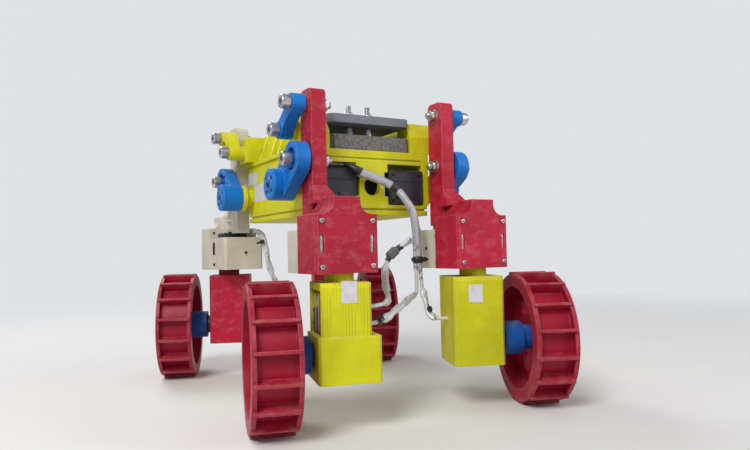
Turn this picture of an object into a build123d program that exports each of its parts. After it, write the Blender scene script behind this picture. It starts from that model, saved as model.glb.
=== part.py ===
"""Planetary rover prototype: four steered, driven wheels on servo-lifted parallelogram legs.

Units are millimetres. +X is forward, +Y is left and +Z is up, and the wheels stand on z = 0.
A leg is drawn once as the front left one, wheel straight ahead, then mirrored to its corner and
its motor box is turned to the corner's parked steering angle.
"""
import os
from collections import namedtuple
from math import cos, pi, radians, sin, tan

from build123d import *

# ---- wheel and hub ----
WHEEL_RADIUS = 60.0          # over the paddle tips
WHEEL_WIDTH = 37.0
PADDLES = 16
PADDLE_THICKNESS = 2.6
PADDLE_HEIGHT = 10.0         # from the drum to the tip
PADDLE_PROUD = 2.6           # tip beyond the side rims
PADDLE_INSET = 1.2           # paddle ends inside the rims' outer faces
RIM_WALL = 3.6               # side rims, along the axle
DRUM_WALL = 4.0
WEB_THICKNESS = 4.0
WEB_HOLES = 6
WEB_HOLE_RADIUS = 8.5
WEB_HOLE_CIRCLE = 28.0
HUB_RADIUS = 15.0
HUB_NOSE_RADIUS = 11.0
HUB_NOSE_LENGTH = 12.0
AXLE_RADIUS = 4.0

# ---- leg layout, measured from the middle of the chassis ----
STEER_A = 145.0              # steering axis, along the rover
STEER_B = 68.0               # steering axis, across the rover
WHEEL_OFFSET = 56.0          # steering axis to the wheel's middle
WHEEL_TO_HOUSING = 4.2       # over the wheel's top
ARM_LENGTH = 34.0            # lift crank and upper link, pivot to pivot
ARM_ANGLE = 35.0             # parked, upward and outward from level
ARM_SPACING = 49.0           # upper pivots over the lower ones
RUNNING_GAP = 0.3            # between pieces that turn on each other
SAME_PLACE = 1e-6            # closer than this, two edges or corners are one

# ---- pivot bolts ----
BOLT_RADIUS = 3.0
BOLT_HEAD_RADIUS = 6.25
BOLT_HEAD_HEIGHT = 8.7
BOLT_TAIL = 9.5              # bolt end beyond what the nut bears on
NUT_RADIUS = 5.8             # across the corners
NUT_HEIGHT = 6.0

# ---- upright ----
BAR_DEPTH = 22.0             # along the rover
BAR_WIDTH = 14.0             # across the rover
BAR_SETBACK = 1.0            # bar's back edge outward of the housing's back
BAR_OVER_PIVOT = 12.5
BAR_TOP_RADIUS = 5.0
BAR_UNDER_PIVOT = 36.5       # lower pivot to the foot's top
PIVOT_RING_RADIUS = 6.8
PIVOT_RING_HEIGHT = 2.5
FOOT_WIDTH = 24.0
FOOT_HEIGHT = 20.5           # steering servo's top to the foot's top
FLARE_LENGTH = 14.0
FLARE_HEIGHT = 13.0
FLARE_LIP = 3.0
ROOF_LOW = 5.0               # sloped roof's low end above the steering servo
TAB_DEPTH = 20.0

# ---- steering servo and its two-piece housing ----
HOUSING_WIDTH = 56.0
HOUSING_HEIGHT = 47.0        # to the shoulders
HOUSING_FACE = 17.0          # steering axis to the outer face
HOUSING_SPLIT = 18.0         # steering axis to the joint between the halves, inward
HOUSING_BACK = 56.0          # steering axis to the inner half's back
HOUSING_CHAMFER = 2.0
SHOULDER_RADIUS = 10.0
INNER_WIDTH = 44.0
INNER_DROP = 11.0            # inner half's top under the shoulders
HOUSING_FLOOR = 4.0
HOUSING_WALL = 4.0
SERVO_LENGTH = 50.0
SERVO_WIDTH = 36.0
SERVO_PROUD = 4.5            # above the inner half
SERVO_RADIUS = 3.0           # rounded case edges
SHAFT_RADIUS = 4.0
FACE_SLOT_OFFSET = 22.5
FACE_SLOT_WIDTH = 3.4
FACE_SLOT_HEIGHT = 15.0
FACE_HOLE_RADIUS = 1.7
FACE_HOLE_MARGIN = 5.5

# ---- motor box ----
BOX_GAP = 7.0                # housing to motor box, filled by the turning collar
COLLAR_RADIUS = 12.0
BOX_DEPTH = 54.0             # along the rover
BOX_INNER = 25.0             # steering axis to the inboard side
BOX_OUTER = 20.0             # steering axis to the outboard side
BOX_DROP = 20.0              # under the axle
BOX_CORNER = 2.0
BOX_BEVEL = 3.0              # along the top outward edge
BOX_LIP = 6.0                # top plate over the open outboard side
BOX_WINDOW_DEPTH = 6.0
BOX_LOWER_HEIGHT = 36.0
STEP_INNER = 2.0             # stepped box: lower block beyond the plain box, inboard
STEP_OUTER = 2.5             # the same, outboard
STEP_FRONT = 3.0             # the same, outward
STEP_UPPER_INSET = 5.0       # its upper block's inboard side, in from the plain box
DRIVE_LENGTH = 50.0          # drive servo, upright
DRIVE_WIDTH = 36.0           # along the rover
DRIVE_HEIGHT = 34.0          # across the rover
DRIVE_BELOW = 13.0           # case under the axle
DRIVE_BOSS_RADIUS = 10.0
DRIVE_BOSS_LENGTH = 5.0      # beyond the box
BOX_SKIN = 2.0               # box wall outboard of the drive servo

# ---- lift crank and upper link ----
LINK_THICKNESS = 12.0
LINK_END_RADIUS = 8.0
LINK_WAIST = 11.0
LINK_BOW = 9.0               # of the curved link
CRANK_END_RADIUS = 15.5
CRANK_HUB_RADIUS = 14.25
CRANK_POCKET_RADIUS = 10.0   # C-shaped pocket around the bolt head's seat
CRANK_POCKET_DEPTH = 5.0
CRANK_POCKET_MOUTH = 13.0
CRANK_SEAT_RADIUS = 5.0
CRANK_DISC_HEIGHT = 9.0
CRANK_BARREL_RADIUS = 6.5

# ---- chassis ----
CHASSIS_OVERHANG = 10.5      # chassis end beyond the lift servos' axes
WALL_OUTER = 64.0            # half width
WALL_THICKNESS = 8.0
LIFT_SERVO_HEIGHT = 34.0
LIFT_SERVO_LENGTH = 50.0
LIFT_SERVO_WIDTH = 38.0
LIFT_SERVO_OVERHANG = 12.0   # case beyond its output shaft
BASE_THICKNESS = 10.0
BASE_GROOVE = 2.0
BASE_GROOVE_DEPTH = 3.5      # under the base's top
BASE_CORNER = 5.0
DECK_GAP = 5.0               # lift servos to deck beams
BEAM_HEIGHT = 12.0
BEAM_DEPTH = 10.0
BEAM_GROOVE = 1.6
BEAM_LEDGE = 3.5             # lower ledge, under the groove
POST_WIDTH = 27.0
POST_HEAD_WIDTH = 34.0
POST_HEAD_HEIGHT = 8.0
POST_FOOT_WIDTH = 35.0
POST_FOOT_HEIGHT = 8.0
POST_DEPTH = 6.0
POST_HOLE_RADIUS = 8.5
POST_HOLE_RISE = 5.0         # straight sides over the round bottom
CHEEK_INNER = 44.0           # half width between the upper frames
CHEEK_LENGTH = 24.0
FRAME_HEIGHT = 31.0          # upper frames above the deck beams
FRAME_WEB = 5.0
FRAME_LEDGE = 4.0
FRAME_OUTER = 66.0           # half width over the frames' ledges and ribs
FRAME_SLOPE_LENGTH = 9.5     # sloped top of each frame's ends, along the rover
FRAME_SLOPE_HEIGHT = 15.0
FRAME_SLOT_WIDTH = 10.0
RIB_THICKNESS = 3.0
BOSS_BLOCK_INWARD = 15.0     # link boss block, from the pivot toward the rover's middle
BOSS_BLOCK_FACE = 73.0       # half width over the blocks
LINK_BOSS_RADIUS = 8.0
CRANK_NECK_RADIUS = 9.0      # neck around the crank's barrel
CRANK_BOSS_RADIUS = 14.0     # the neck's flange, cut flat at the chassis end
CRANK_FLANGE = 5.0
FRAME_SCREW_COVER = 4.0      # frame left in front of each link screw's tip
BLOCK_HEIGHT = 14.0
BLOCK_LENGTH = 62.0
BLOCK_SIDE_GAP = 0.5         # to the frames' cheeks
BLOCK_CORNER = 4.5
CLAMP_HEIGHT = 8.0
CLAMP_GAP = 11.0             # block to clamp plate
STUD_INSET = 26.0            # from the chassis end
STUD_SPACING = 21.0
STUD_RADIUS = 2.6            # threaded end over the washer
STUD_SHANK_RADIUS = 3.0      # through plate and block
STUD_PROUD = 14.0
STUD_SLEEVE_RADIUS = 5.0
WASHER_RADIUS = 5.6
WASHER_HEIGHT = 2.0

# ---- cables ----
SLEEVE_RADIUS = 4.7
SLEEVE_BORE = 4.05
LEAD_RADIUS = 1.8
LEAD_PITCH = 3.9             # between the two leads inside the sleeve
LEAD_APPROACH = 14.0         # straight run square to the motor box
TIE_WALL = 1.3
TIE_SLACK = 0.7
TIE_LENGTH = 7.0
HANG_OUT = 30.5              # where the sleeve hangs: outward of the chassis end
HANG_LEFT = -29.0            # and to the left of the middle
BEND_TIE_SHARE = 0.2         # of the sleeve's length, to the tie at its first bend
ARC_SHARE = 0.45             # of the shorter run, used up by the arc at its end

# Corners. steer is the parked angle about +Z in degrees.
Corner = namedtuple("Corner", "name end side steer stepped_box curved_link")
CORNERS = (
    Corner("rear_left", -1, 1, -15.0, True, False),
    Corner("rear_right", -1, -1, -22.0, False, False),
    Corner("front_left", 1, 1, -22.0, False, True),
    Corner("front_right", 1, -1, -20.0, False, False),
)

# The braided sleeve's route. Each point is outward of the chassis end, to the left of the middle and
# above the lift servos' axes.
SLEEVE_ROUTE = (
    (SLEEVE_RADIUS + TIE_SLACK + TIE_WALL, 15, 14), (14, -12, 0), (23, -23, -13),
    (HANG_OUT, HANG_LEFT, -31), (HANG_OUT, HANG_LEFT, -79),
)

# Leads, with routes measured in the same way. Each enters the inboard side of its corner's motor box,
# entry_x forward of the steering axis and entry_z above the lift servos' axes.
Lead = namedtuple("Lead", "node corner entry_x entry_z route")
LEADS = (
    Lead("rear_left_lead", "rear_left", 0, -120, (
        (HANG_OUT, HANG_LEFT + LEAD_PITCH / 2, -41), (HANG_OUT, HANG_LEFT + LEAD_PITCH / 2, -87),
        (35, -17, -102), (47, 2, -113), (62, 20, -119),
    )),
    Lead("rear_left_branch", "rear_left", 10, -107, (
        (HANG_OUT, HANG_LEFT + SLEEVE_RADIUS + LEAD_RADIUS, -51), (28, -13, -57), (25.5, -3, -64),
        (25, 3, -75), (29.5, 6, -89), (39.5, 10, -99), (53.5, 16, -104),
    )),
    Lead("rear_right_lead", "rear_right", 0, -123, (
        (HANG_OUT, HANG_LEFT - LEAD_PITCH / 2, -41), (HANG_OUT, HANG_LEFT - LEAD_PITCH / 2, -89),
        (32, -29, -103), (37.5, -27.5, -115),
    )),
    Lead("front_left_lead", "front_left", 0, -117, (
        (21, 60, -58), (21, 58, -43), (14, 55, -36), (4, 51.5, -36), (-3.5, 48, -43), (-3, 46, -54),
        (-1.5, 43, -68), (1.5, 38, -82), (6.5, 30, -94), (16.5, 24, -105), (29.5, 24, -113),
    )),
)

# ---- heights and places that follow ----
axle_z = WHEEL_RADIUS * cos(pi / PADDLES)
housing_bottom = axle_z + WHEEL_RADIUS + WHEEL_TO_HOUSING
housing_top = housing_bottom + HOUSING_HEIGHT
inner_top = housing_top - INNER_DROP
servo_top = inner_top + SERVO_PROUD
foot_top = servo_top + FOOT_HEIGHT
box_top = housing_bottom - BOX_GAP
box_bottom = axle_z - BOX_DROP
lower_top = box_bottom + BOX_LOWER_HEIGHT
lower_pivot_z = foot_top + BAR_UNDER_PIVOT
upper_pivot_z = lower_pivot_z + ARM_SPACING
arm_run = ARM_LENGTH * cos(radians(ARM_ANGLE))
arm_rise = ARM_LENGTH * sin(radians(ARM_ANGLE))
housing_face = STEER_A + HOUSING_FACE
housing_split = STEER_A - HOUSING_SPLIT
housing_back = STEER_A - HOUSING_BACK
servo_face = housing_face - HOUSING_WALL
bar_back = housing_back + BAR_SETBACK
bar_face = bar_back + BAR_DEPTH
pivot_a = bar_back + BAR_DEPTH / 2
body_pivot_a = pivot_a - arm_run
servo_axis_z = lower_pivot_z - arm_rise
body_upper_z = upper_pivot_z - arm_rise
bar_inner = STEER_B - BAR_WIDTH / 2
bar_outer = STEER_B + BAR_WIDTH / 2
foot_inner = STEER_B - FOOT_WIDTH / 2
foot_outer = STEER_B + FOOT_WIDTH / 2
box_inner = STEER_B - BOX_INNER
box_outer = STEER_B + BOX_OUTER
link_inner = bar_outer + PIVOT_RING_HEIGHT + RUNNING_GAP
link_outer = link_inner + LINK_THICKNESS
chassis_end = body_pivot_a + CHASSIS_OVERHANG
base_top = servo_axis_z - LIFT_SERVO_HEIGHT / 2
base_bottom = base_top - BASE_THICKNESS
deck_bottom = servo_axis_z + LIFT_SERVO_HEIGHT / 2 + DECK_GAP
deck_top = deck_bottom + BEAM_HEIGHT
frame_top = deck_top + FRAME_HEIGHT
wall_inner = WALL_OUTER - WALL_THICKNESS
clamp_bottom = deck_top + BLOCK_HEIGHT + CLAMP_GAP
clamp_top = clamp_bottom + CLAMP_HEIGHT
stud_a = chassis_end - STUD_INSET
frame_screw_tip = CHEEK_INNER + FRAME_SCREW_COVER
block_width = 2 * (CHEEK_INNER - BLOCK_SIDE_GAP)
swing_face = link_inner - RUNNING_GAP


def block(x0, x1, y0, y1, z0, z1):
    """A box between two corners."""
    middle = Pos((x0 + x1) / 2, (y0 + y1) / 2, (z0 + z1) / 2)
    return middle * Box(x1 - x0, y1 - y0, z1 - z0)


def side_slab(sketch, y0, y1):
    """A sketch drawn in X and Z, thickened from y0 to y1."""
    return extrude(Plane((0, y1, 0), x_dir=(1, 0, 0), z_dir=(0, -1, 0)) * sketch, y1 - y0)


def end_slab(sketch, x0, x1):
    """A sketch drawn in Y and Z, thickened from x0 to x1."""
    return extrude(Plane((x0, 0, 0), x_dir=(0, 1, 0), z_dir=(1, 0, 0)) * sketch, x1 - x0)


def cross_rod(x, z, y0, y1, radius):
    """A round rod across the rover."""
    return side_slab(Pos(x, z) * Circle(radius), y0, y1)


def cap_screw(x, z, y_tip, y_head):
    """A cap screw from its tip to where its head starts, and the head beyond."""
    shank = cross_rod(x, z, y_tip, y_head, BOLT_RADIUS)
    return shank + cross_rod(x, z, y_head, y_head + BOLT_HEAD_HEIGHT, BOLT_HEAD_RADIUS)


def pivot_bolt(x, z):
    """A bolt through an arm and the bar, with its nut on the bar's inboard face."""
    screw = cap_screw(x, z, bar_inner - BOLT_TAIL, link_outer + RUNNING_GAP)
    return screw + side_slab(Pos(x, z) * RegularPolygon(NUT_RADIUS, 6), bar_inner - NUT_HEIGHT, bar_inner)


def upper_link(curved):
    """The idler arm of the parallelogram, straight or bowed upward between its ends."""
    inner_end = (body_pivot_a, body_upper_z)
    outer_end = (pivot_a, upper_pivot_z)
    ends = Sketch() + [Pos(*inner_end) * Circle(LINK_END_RADIUS), Pos(*outer_end) * Circle(LINK_END_RADIUS)]
    middle = ((inner_end[0] + outer_end[0]) / 2, (inner_end[1] + outer_end[1]) / 2)
    if curved:
        tilt = radians(ARM_ANGLE)
        crown = (middle[0] - LINK_BOW * sin(tilt), middle[1] + LINK_BOW * cos(tilt))
        waist = trace(ThreePointArc(inner_end, crown, outer_end), LINK_WAIST)
    else:
        waist = trace(Line(inner_end, outer_end), LINK_WAIST)
    arm = side_slab(ends + waist, link_inner, link_outer)
    for x, z in (inner_end, outer_end):
        arm -= cross_rod(x, z, link_inner, link_outer, BOLT_RADIUS + RUNNING_GAP)
    return arm


def lift_crank():
    """The driven arm, keyed to the lift servo's horn, with a C-shaped pocket around its bolt's seat."""
    hub = (body_pivot_a, servo_axis_z)
    tip = (pivot_a, lower_pivot_z)
    plate = make_hull((Pos(*hub) * Circle(CRANK_HUB_RADIUS) + Pos(*tip) * Circle(CRANK_END_RADIUS)).edges())
    crank = side_slab(plate, link_inner, link_outer)
    mouth = Pos(-CRANK_END_RADIUS / 2, 0) * Rectangle(CRANK_END_RADIUS, CRANK_POCKET_MOUTH)
    pocket = Circle(CRANK_POCKET_RADIUS) + mouth - Circle(CRANK_SEAT_RADIUS)
    crank -= side_slab(Pos(*tip) * pocket, link_outer - CRANK_POCKET_DEPTH, link_outer)
    crank += cross_rod(*hub, link_outer, link_outer + CRANK_DISC_HEIGHT, CRANK_HUB_RADIUS)
    crank += cross_rod(*hub, wall_inner + RUNNING_GAP, link_inner, CRANK_BARREL_RADIUS)
    return crank - cross_rod(*tip, link_inner, link_outer, BOLT_RADIUS + RUNNING_GAP)


def steer_servo():
    """The steering servo: case and output shaft, which turns the motor box."""
    half = SERVO_WIDTH / 2
    case_bottom = housing_bottom + HOUSING_FLOOR
    servo_back = servo_face - SERVO_LENGTH
    case = block(servo_back, servo_face, STEER_B - half, STEER_B + half, case_bottom, servo_top)
    case = fillet(case.edges().filter_by(Axis.Z), SERVO_RADIUS)
    shaft_middle = (case_bottom + box_top) / 2
    return case + Pos(STEER_A, STEER_B, shaft_middle) * Cylinder(SHAFT_RADIUS, case_bottom - box_top)


def shaft_bore():
    """The hole in the housing floor that the steering shaft turns in."""
    return Pos(STEER_A, STEER_B, housing_bottom + HOUSING_FLOOR / 2) * Cylinder(
        SHAFT_RADIUS + RUNNING_GAP, HOUSING_FLOOR
    )


def flare():
    """The foot's lip, which spreads outward and to both sides from the bar's outward face."""
    lip_bottom = foot_top - FLARE_LIP
    flare_top = foot_top + FLARE_HEIGHT
    lip_face = bar_face + FLARE_LENGTH
    along = Polyline(
        (bar_face, lip_bottom), (lip_face, lip_bottom), (lip_face, foot_top), (bar_face, flare_top),
        close=True,
    )
    across = Polyline(
        (foot_inner, lip_bottom), (foot_outer, lip_bottom), (foot_outer, foot_top),
        (bar_outer, flare_top), (bar_inner, flare_top), (foot_inner, foot_top), close=True,
    )
    side_view = side_slab(make_face(along), foot_inner, foot_outer)
    return side_view & end_slab(make_face(across), bar_face, lip_face)


def upright():
    """Bar, flared foot and outer housing half in one printing."""
    half = HOUSING_WIDTH / 2
    tab_back = housing_face - TAB_DEPTH
    face = Pos(STEER_B, (housing_bottom + housing_top) / 2) * Rectangle(HOUSING_WIDTH, HOUSING_HEIGHT)
    body = end_slab(face, housing_split, tab_back)
    face += Pos(STEER_B, (housing_bottom + foot_top) / 2) * Rectangle(FOOT_WIDTH, foot_top - housing_bottom)
    shoulders = [
        v for v in face.vertices()
        if abs(v.Y - housing_top) < SAME_PLACE and abs(v.X - STEER_B) < half - SAME_PLACE
    ]
    body += end_slab(fillet(shoulders, SHOULDER_RADIUS), tab_back, housing_face)
    tall = [e for e in body.edges().filter_by(Axis.Z) if abs(e.center().X - housing_face) < SAME_PLACE]
    sides = [e for e in tall if abs(abs(e.center().Y - STEER_B) - half) < SAME_PLACE]
    body = chamfer(sides, HOUSING_CHAMFER)
    roof = Polyline(
        (bar_face, servo_top), (tab_back, servo_top), (tab_back, foot_top),
        (bar_face, servo_top + ROOF_LOW), close=True,
    )
    body += side_slab(make_face(roof), foot_inner, foot_outer)
    bar_top = upper_pivot_z + BAR_OVER_PIVOT
    profile = Pos(pivot_a, (servo_top + bar_top) / 2) * Rectangle(BAR_DEPTH, bar_top - servo_top)
    profile = fillet(profile.vertices().group_by(Axis.Y)[-1], BAR_TOP_RADIUS)
    body += side_slab(profile, bar_inner, bar_outer) + flare()
    for z in (lower_pivot_z, upper_pivot_z):
        body += cross_rod(pivot_a, z, bar_outer, bar_outer + PIVOT_RING_HEIGHT, PIVOT_RING_RADIUS)
        body -= cross_rod(pivot_a, z, bar_inner, bar_outer + PIVOT_RING_HEIGHT, BOLT_RADIUS)
    for side in (-1, 1):
        y = STEER_B + side * FACE_SLOT_OFFSET
        middle = (housing_bottom + housing_top) / 2
        slot = Pos(y, middle) * SlotOverall(FACE_SLOT_HEIGHT, FACE_SLOT_WIDTH, rotation=90)
        holes = Pos(y, housing_bottom + FACE_HOLE_MARGIN) * Circle(FACE_HOLE_RADIUS)
        holes += Pos(y, housing_top - FACE_HOLE_MARGIN) * Circle(FACE_HOLE_RADIUS)
        body -= end_slab(slot + holes, housing_split, housing_face)
    return body - steer_servo() - shaft_bore()


def housing_half():
    """The inner housing half, with a wire space behind the steering servo."""
    half = INNER_WIDTH / 2
    shell = block(housing_back, housing_split, STEER_B - half, STEER_B + half, housing_bottom, inner_top)
    back_edges = shell.edges().filter_by(Axis.Z).group_by(Axis.X)[0]
    shell = fillet(back_edges, SERVO_RADIUS)
    half = SERVO_WIDTH / 2
    shell -= block(
        housing_back + HOUSING_WALL, housing_split, STEER_B - half, STEER_B + half,
        housing_bottom + HOUSING_FLOOR, inner_top,
    )
    return shell


def drive_servo():
    """The drive servo's case and output boss, wheel straight ahead."""
    half = DRIVE_WIDTH / 2
    y1 = box_outer - BOX_SKIN
    z0 = axle_z - DRIVE_BELOW
    case = block(STEER_A - half, STEER_A + half, y1 - DRIVE_HEIGHT, y1, z0, z0 + DRIVE_LENGTH)
    case = fillet(case.edges().filter_by(Axis.Y), SERVO_RADIUS)
    boss_end = box_outer + DRIVE_BOSS_LENGTH
    case += cross_rod(STEER_A, axle_z, y1, boss_end, DRIVE_BOSS_RADIUS)
    return case + cross_rod(STEER_A, axle_z, boss_end, boss_end + HUB_NOSE_LENGTH, AXLE_RADIUS)


def motor_box(stepped):
    """The box that steers and holds the drive servo, with its turning collar."""
    back, front = STEER_A - BOX_DEPTH / 2, STEER_A + BOX_DEPTH / 2
    if stepped:
        upper = block(back, front, box_inner + STEP_UPPER_INSET, box_outer, lower_top, box_top)
        lower = block(
            back, front + STEP_FRONT, box_inner - STEP_INNER, box_outer + STEP_OUTER, box_bottom, lower_top
        )
        body = chamfer(upper.edges().filter_by(Axis.Z), BOX_CORNER) + chamfer(
            lower.edges().filter_by(Axis.Z), BOX_CORNER
        )
    else:
        body = block(back, front, box_inner, box_outer, box_bottom, box_top)
        body = chamfer(body.edges().filter_by(Axis.Z), BOX_CORNER)
    top_edges = body.faces().sort_by(Axis.Z)[-1].edges().filter_by(Axis.Y)
    body = chamfer(top_edges.sort_by(Axis.X)[-1], BOX_BEVEL)
    body -= block(
        back + BOX_BEVEL, front - BOX_BEVEL, box_outer - BOX_WINDOW_DEPTH, box_outer,
        lower_top, box_top - BOX_LIP,
    )
    body -= drive_servo()
    body -= cross_rod(STEER_A, axle_z, box_outer, box_outer + STEP_OUTER, DRIVE_BOSS_RADIUS)
    collar_top = housing_bottom - RUNNING_GAP
    middle = Pos(STEER_A, STEER_B, (box_top + collar_top) / 2)
    collar = middle * Cylinder(COLLAR_RADIUS, collar_top - box_top)
    return body + (collar - middle * Cylinder(SHAFT_RADIUS + RUNNING_GAP, collar_top - box_top))


def hub():
    """The coupling between the drive servo's shaft and the wheel's web."""
    boss_end = box_outer + DRIVE_BOSS_LENGTH
    web_inner = STEER_B + WHEEL_OFFSET - WEB_THICKNESS / 2
    shoulder = web_inner - HUB_NOSE_LENGTH
    body = cross_rod(STEER_A, axle_z, boss_end + RUNNING_GAP, shoulder, HUB_RADIUS)
    body += cross_rod(STEER_A, axle_z, shoulder, web_inner, HUB_NOSE_RADIUS)
    bore_end = boss_end + HUB_NOSE_LENGTH + RUNNING_GAP
    return body - cross_rod(STEER_A, axle_z, boss_end, bore_end, AXLE_RADIUS + RUNNING_GAP)


def wheel():
    """One printed wheel: drum, two side rims, a pierced web and radial paddles."""
    y0 = STEER_B + WHEEL_OFFSET - WHEEL_WIDTH / 2
    y1 = y0 + WHEEL_WIDTH
    drum_radius = WHEEL_RADIUS - PADDLE_HEIGHT
    rim_radius = WHEEL_RADIUS - PADDLE_PROUD
    bore_radius = drum_radius - DRUM_WALL
    centre = Pos(STEER_A, axle_z)
    body = side_slab(centre * (Circle(drum_radius) - Circle(bore_radius)), y0, y1)
    rim = centre * (Circle(rim_radius) - Circle(bore_radius))
    body += side_slab(rim, y0, y0 + RIM_WALL)
    body += side_slab(rim, y1 - RIM_WALL, y1)
    web = Circle(bore_radius) - PolarLocations(WEB_HOLE_CIRCLE, WEB_HOLES) * Circle(WEB_HOLE_RADIUS)
    web_y0 = STEER_B + WHEEL_OFFSET - WEB_THICKNESS / 2
    body += side_slab(centre * web, web_y0, web_y0 + WEB_THICKNESS)
    root = drum_radius - DRUM_WALL / 2
    blade = Pos((root + WHEEL_RADIUS) / 2, 0) * Rectangle(WHEEL_RADIUS - root, PADDLE_THICKNESS)
    blades = Sketch() + [Rot(0, 0, (k + 0.5) * 360 / PADDLES) * blade for k in range(PADDLES)]
    return body + side_slab(centre * blades, y0 + PADDLE_INSET, y1 - PADDLE_INSET)


def corner_pieces(corner):
    """Every piece of one leg, as (name, solid) pairs in the rover's frame."""
    bolts = pivot_bolt(pivot_a, lower_pivot_z) + pivot_bolt(pivot_a, upper_pivot_z)
    fixed = (
        ("upper_link", upper_link(corner.curved_link)),
        ("lift_crank", lift_crank()),
        ("pivot_bolts", bolts),
        ("upright", upright()),
        ("housing_half", housing_half()),
        ("steer_servo", steer_servo()),
    )
    steered = (
        ("motor_box", motor_box(corner.stepped_box)),
        ("drive_servo", drive_servo()),
        ("hub", hub()),
        ("wheel", wheel()),
    )
    steer_axis = Axis((corner.end * STEER_A, corner.side * STEER_B, 0), (0, 0, 1))
    for name, shape in fixed:
        yield name, to_corner(shape, corner)
    for name, shape in steered:
        yield name, to_corner(shape, corner).rotate(steer_axis, corner.steer)


def to_corner(shape, corner):
    """A front left shape, mirrored to its own corner."""
    if corner.end < 0:
        shape = mirror(shape, about=Plane.YZ)
    if corner.side < 0:
        shape = mirror(shape, about=Plane.XZ)
    return shape


def base_plate():
    """The floor, with rounded corners and a groove around it under the side walls."""
    def slab(inset, z0, z1):
        outline = RectangleRounded(2 * (chassis_end - inset), 2 * (WALL_OUTER - inset), BASE_CORNER)
        return extrude(Pos(0, 0, z0) * outline, z1 - z0)
    groove_top = base_top - BASE_GROOVE_DEPTH
    groove_bottom = groove_top - BASE_GROOVE
    return slab(0, base_bottom, groove_bottom) + slab(BASE_GROOVE, groove_bottom, groove_top) + slab(
        0, groove_top, base_top
    )


def side_wall(side):
    """A side plate, bored at both ends for the cranks' barrels."""
    wall = block(-chassis_end, chassis_end, wall_inner, WALL_OUTER, base_top, deck_top)
    for x in (-body_pivot_a, body_pivot_a):
        wall -= cross_rod(x, servo_axis_z, wall_inner, WALL_OUTER, CRANK_BARREL_RADIUS + RUNNING_GAP)
    return wall if side > 0 else mirror(wall, about=Plane.XZ)


def lift_servos():
    """The four servos that raise and lower the legs."""
    servos = Part()
    for end in (-1, 1):
        for side in (-1, 1):
            x_out = end * (body_pivot_a + LIFT_SERVO_OVERHANG)
            x_in = x_out - end * LIFT_SERVO_LENGTH
            y_out = side * wall_inner
            y_in = y_out - side * LIFT_SERVO_WIDTH
            case = block(
                min(x_in, x_out), max(x_in, x_out), min(y_in, y_out), max(y_in, y_out),
                base_top, base_top + LIFT_SERVO_HEIGHT,
            )
            servos += fillet(case.edges().filter_by(Axis.Y), SERVO_RADIUS)
    return servos


def end_post(end):
    """The middle post at one end of the chassis, pierced for the cables, with a wide head and foot."""
    x0, x1 = sorted((end * chassis_end, end * (chassis_end - POST_DEPTH)))
    face = Pos(0, (base_top + deck_bottom) / 2) * Rectangle(POST_WIDTH, deck_bottom - base_top)
    face += Pos(0, deck_bottom - POST_HEAD_HEIGHT / 2) * Rectangle(POST_HEAD_WIDTH, POST_HEAD_HEIGHT)
    face += Pos(0, base_top + POST_FOOT_HEIGHT / 2) * Rectangle(POST_FOOT_WIDTH, POST_FOOT_HEIGHT)
    face -= Pos(0, servo_axis_z) * Circle(POST_HOLE_RADIUS)
    face -= Pos(0, servo_axis_z + POST_HOLE_RISE / 2) * Rectangle(2 * POST_HOLE_RADIUS, POST_HOLE_RISE)
    return end_slab(face, x0, x1)


def deck_beams():
    """The two cross beams between the side walls, grooved along their outward faces."""
    beams = Part()
    groove_bottom = deck_bottom + BEAM_LEDGE
    for end in (-1, 1):
        x0, x1 = sorted((end * chassis_end, end * (chassis_end - BEAM_DEPTH)))
        beams += block(x0, x1, -wall_inner, wall_inner, deck_bottom, deck_top)
        g0, g1 = sorted((end * chassis_end, end * (chassis_end - BEAM_GROOVE)))
        beams -= block(g0, g1, -wall_inner, wall_inner, groove_bottom, groove_bottom + BEAM_GROOVE)
    return beams


def upper_frame(side):
    """The ribbed side frame over the deck, slotted in the middle, with a cheek at each end."""
    web_inner = wall_inner - FRAME_WEB
    web = Pos(0, (deck_top + frame_top) / 2) * Rectangle(2 * chassis_end, FRAME_HEIGHT)
    slot_height = FRAME_HEIGHT - 3 * FRAME_LEDGE
    web -= Pos(0, deck_top + 2 * FRAME_LEDGE + slot_height / 2) * Rectangle(FRAME_SLOT_WIDTH, slot_height)
    frame = side_slab(web, web_inner, wall_inner)
    ledge_top = deck_top + FRAME_LEDGE
    frame += block(-chassis_end, chassis_end, web_inner, FRAME_OUTER, deck_top, ledge_top)
    for end in (-1, 1):
        x0, x1 = sorted((end * chassis_end, end * (chassis_end - CHEEK_LENGTH)))
        frame += block(x0, x1, CHEEK_INNER, web_inner, deck_top, frame_top)
        frame -= cross_rod(end * body_pivot_a, body_upper_z, frame_screw_tip, wall_inner, BOLT_RADIUS)
        x_low, x_high = end * chassis_end, end * (chassis_end - FRAME_SLOPE_LENGTH)
        slope = Polyline(
            (x_low, frame_top - FRAME_SLOPE_HEIGHT), (x_low, frame_top), (x_high, frame_top), close=True
        )
        frame -= side_slab(make_face(slope), CHEEK_INNER, wall_inner)
    rib = Polyline((wall_inner, ledge_top), (FRAME_OUTER, ledge_top), (wall_inner, frame_top), close=True)
    for x in (-chassis_end / 2, -FRAME_SLOT_WIDTH, FRAME_SLOT_WIDTH, chassis_end / 2):
        frame += end_slab(make_face(rib), x - RIB_THICKNESS / 2, x + RIB_THICKNESS / 2)
    return frame if side > 0 else mirror(frame, about=Plane.XZ)


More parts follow.
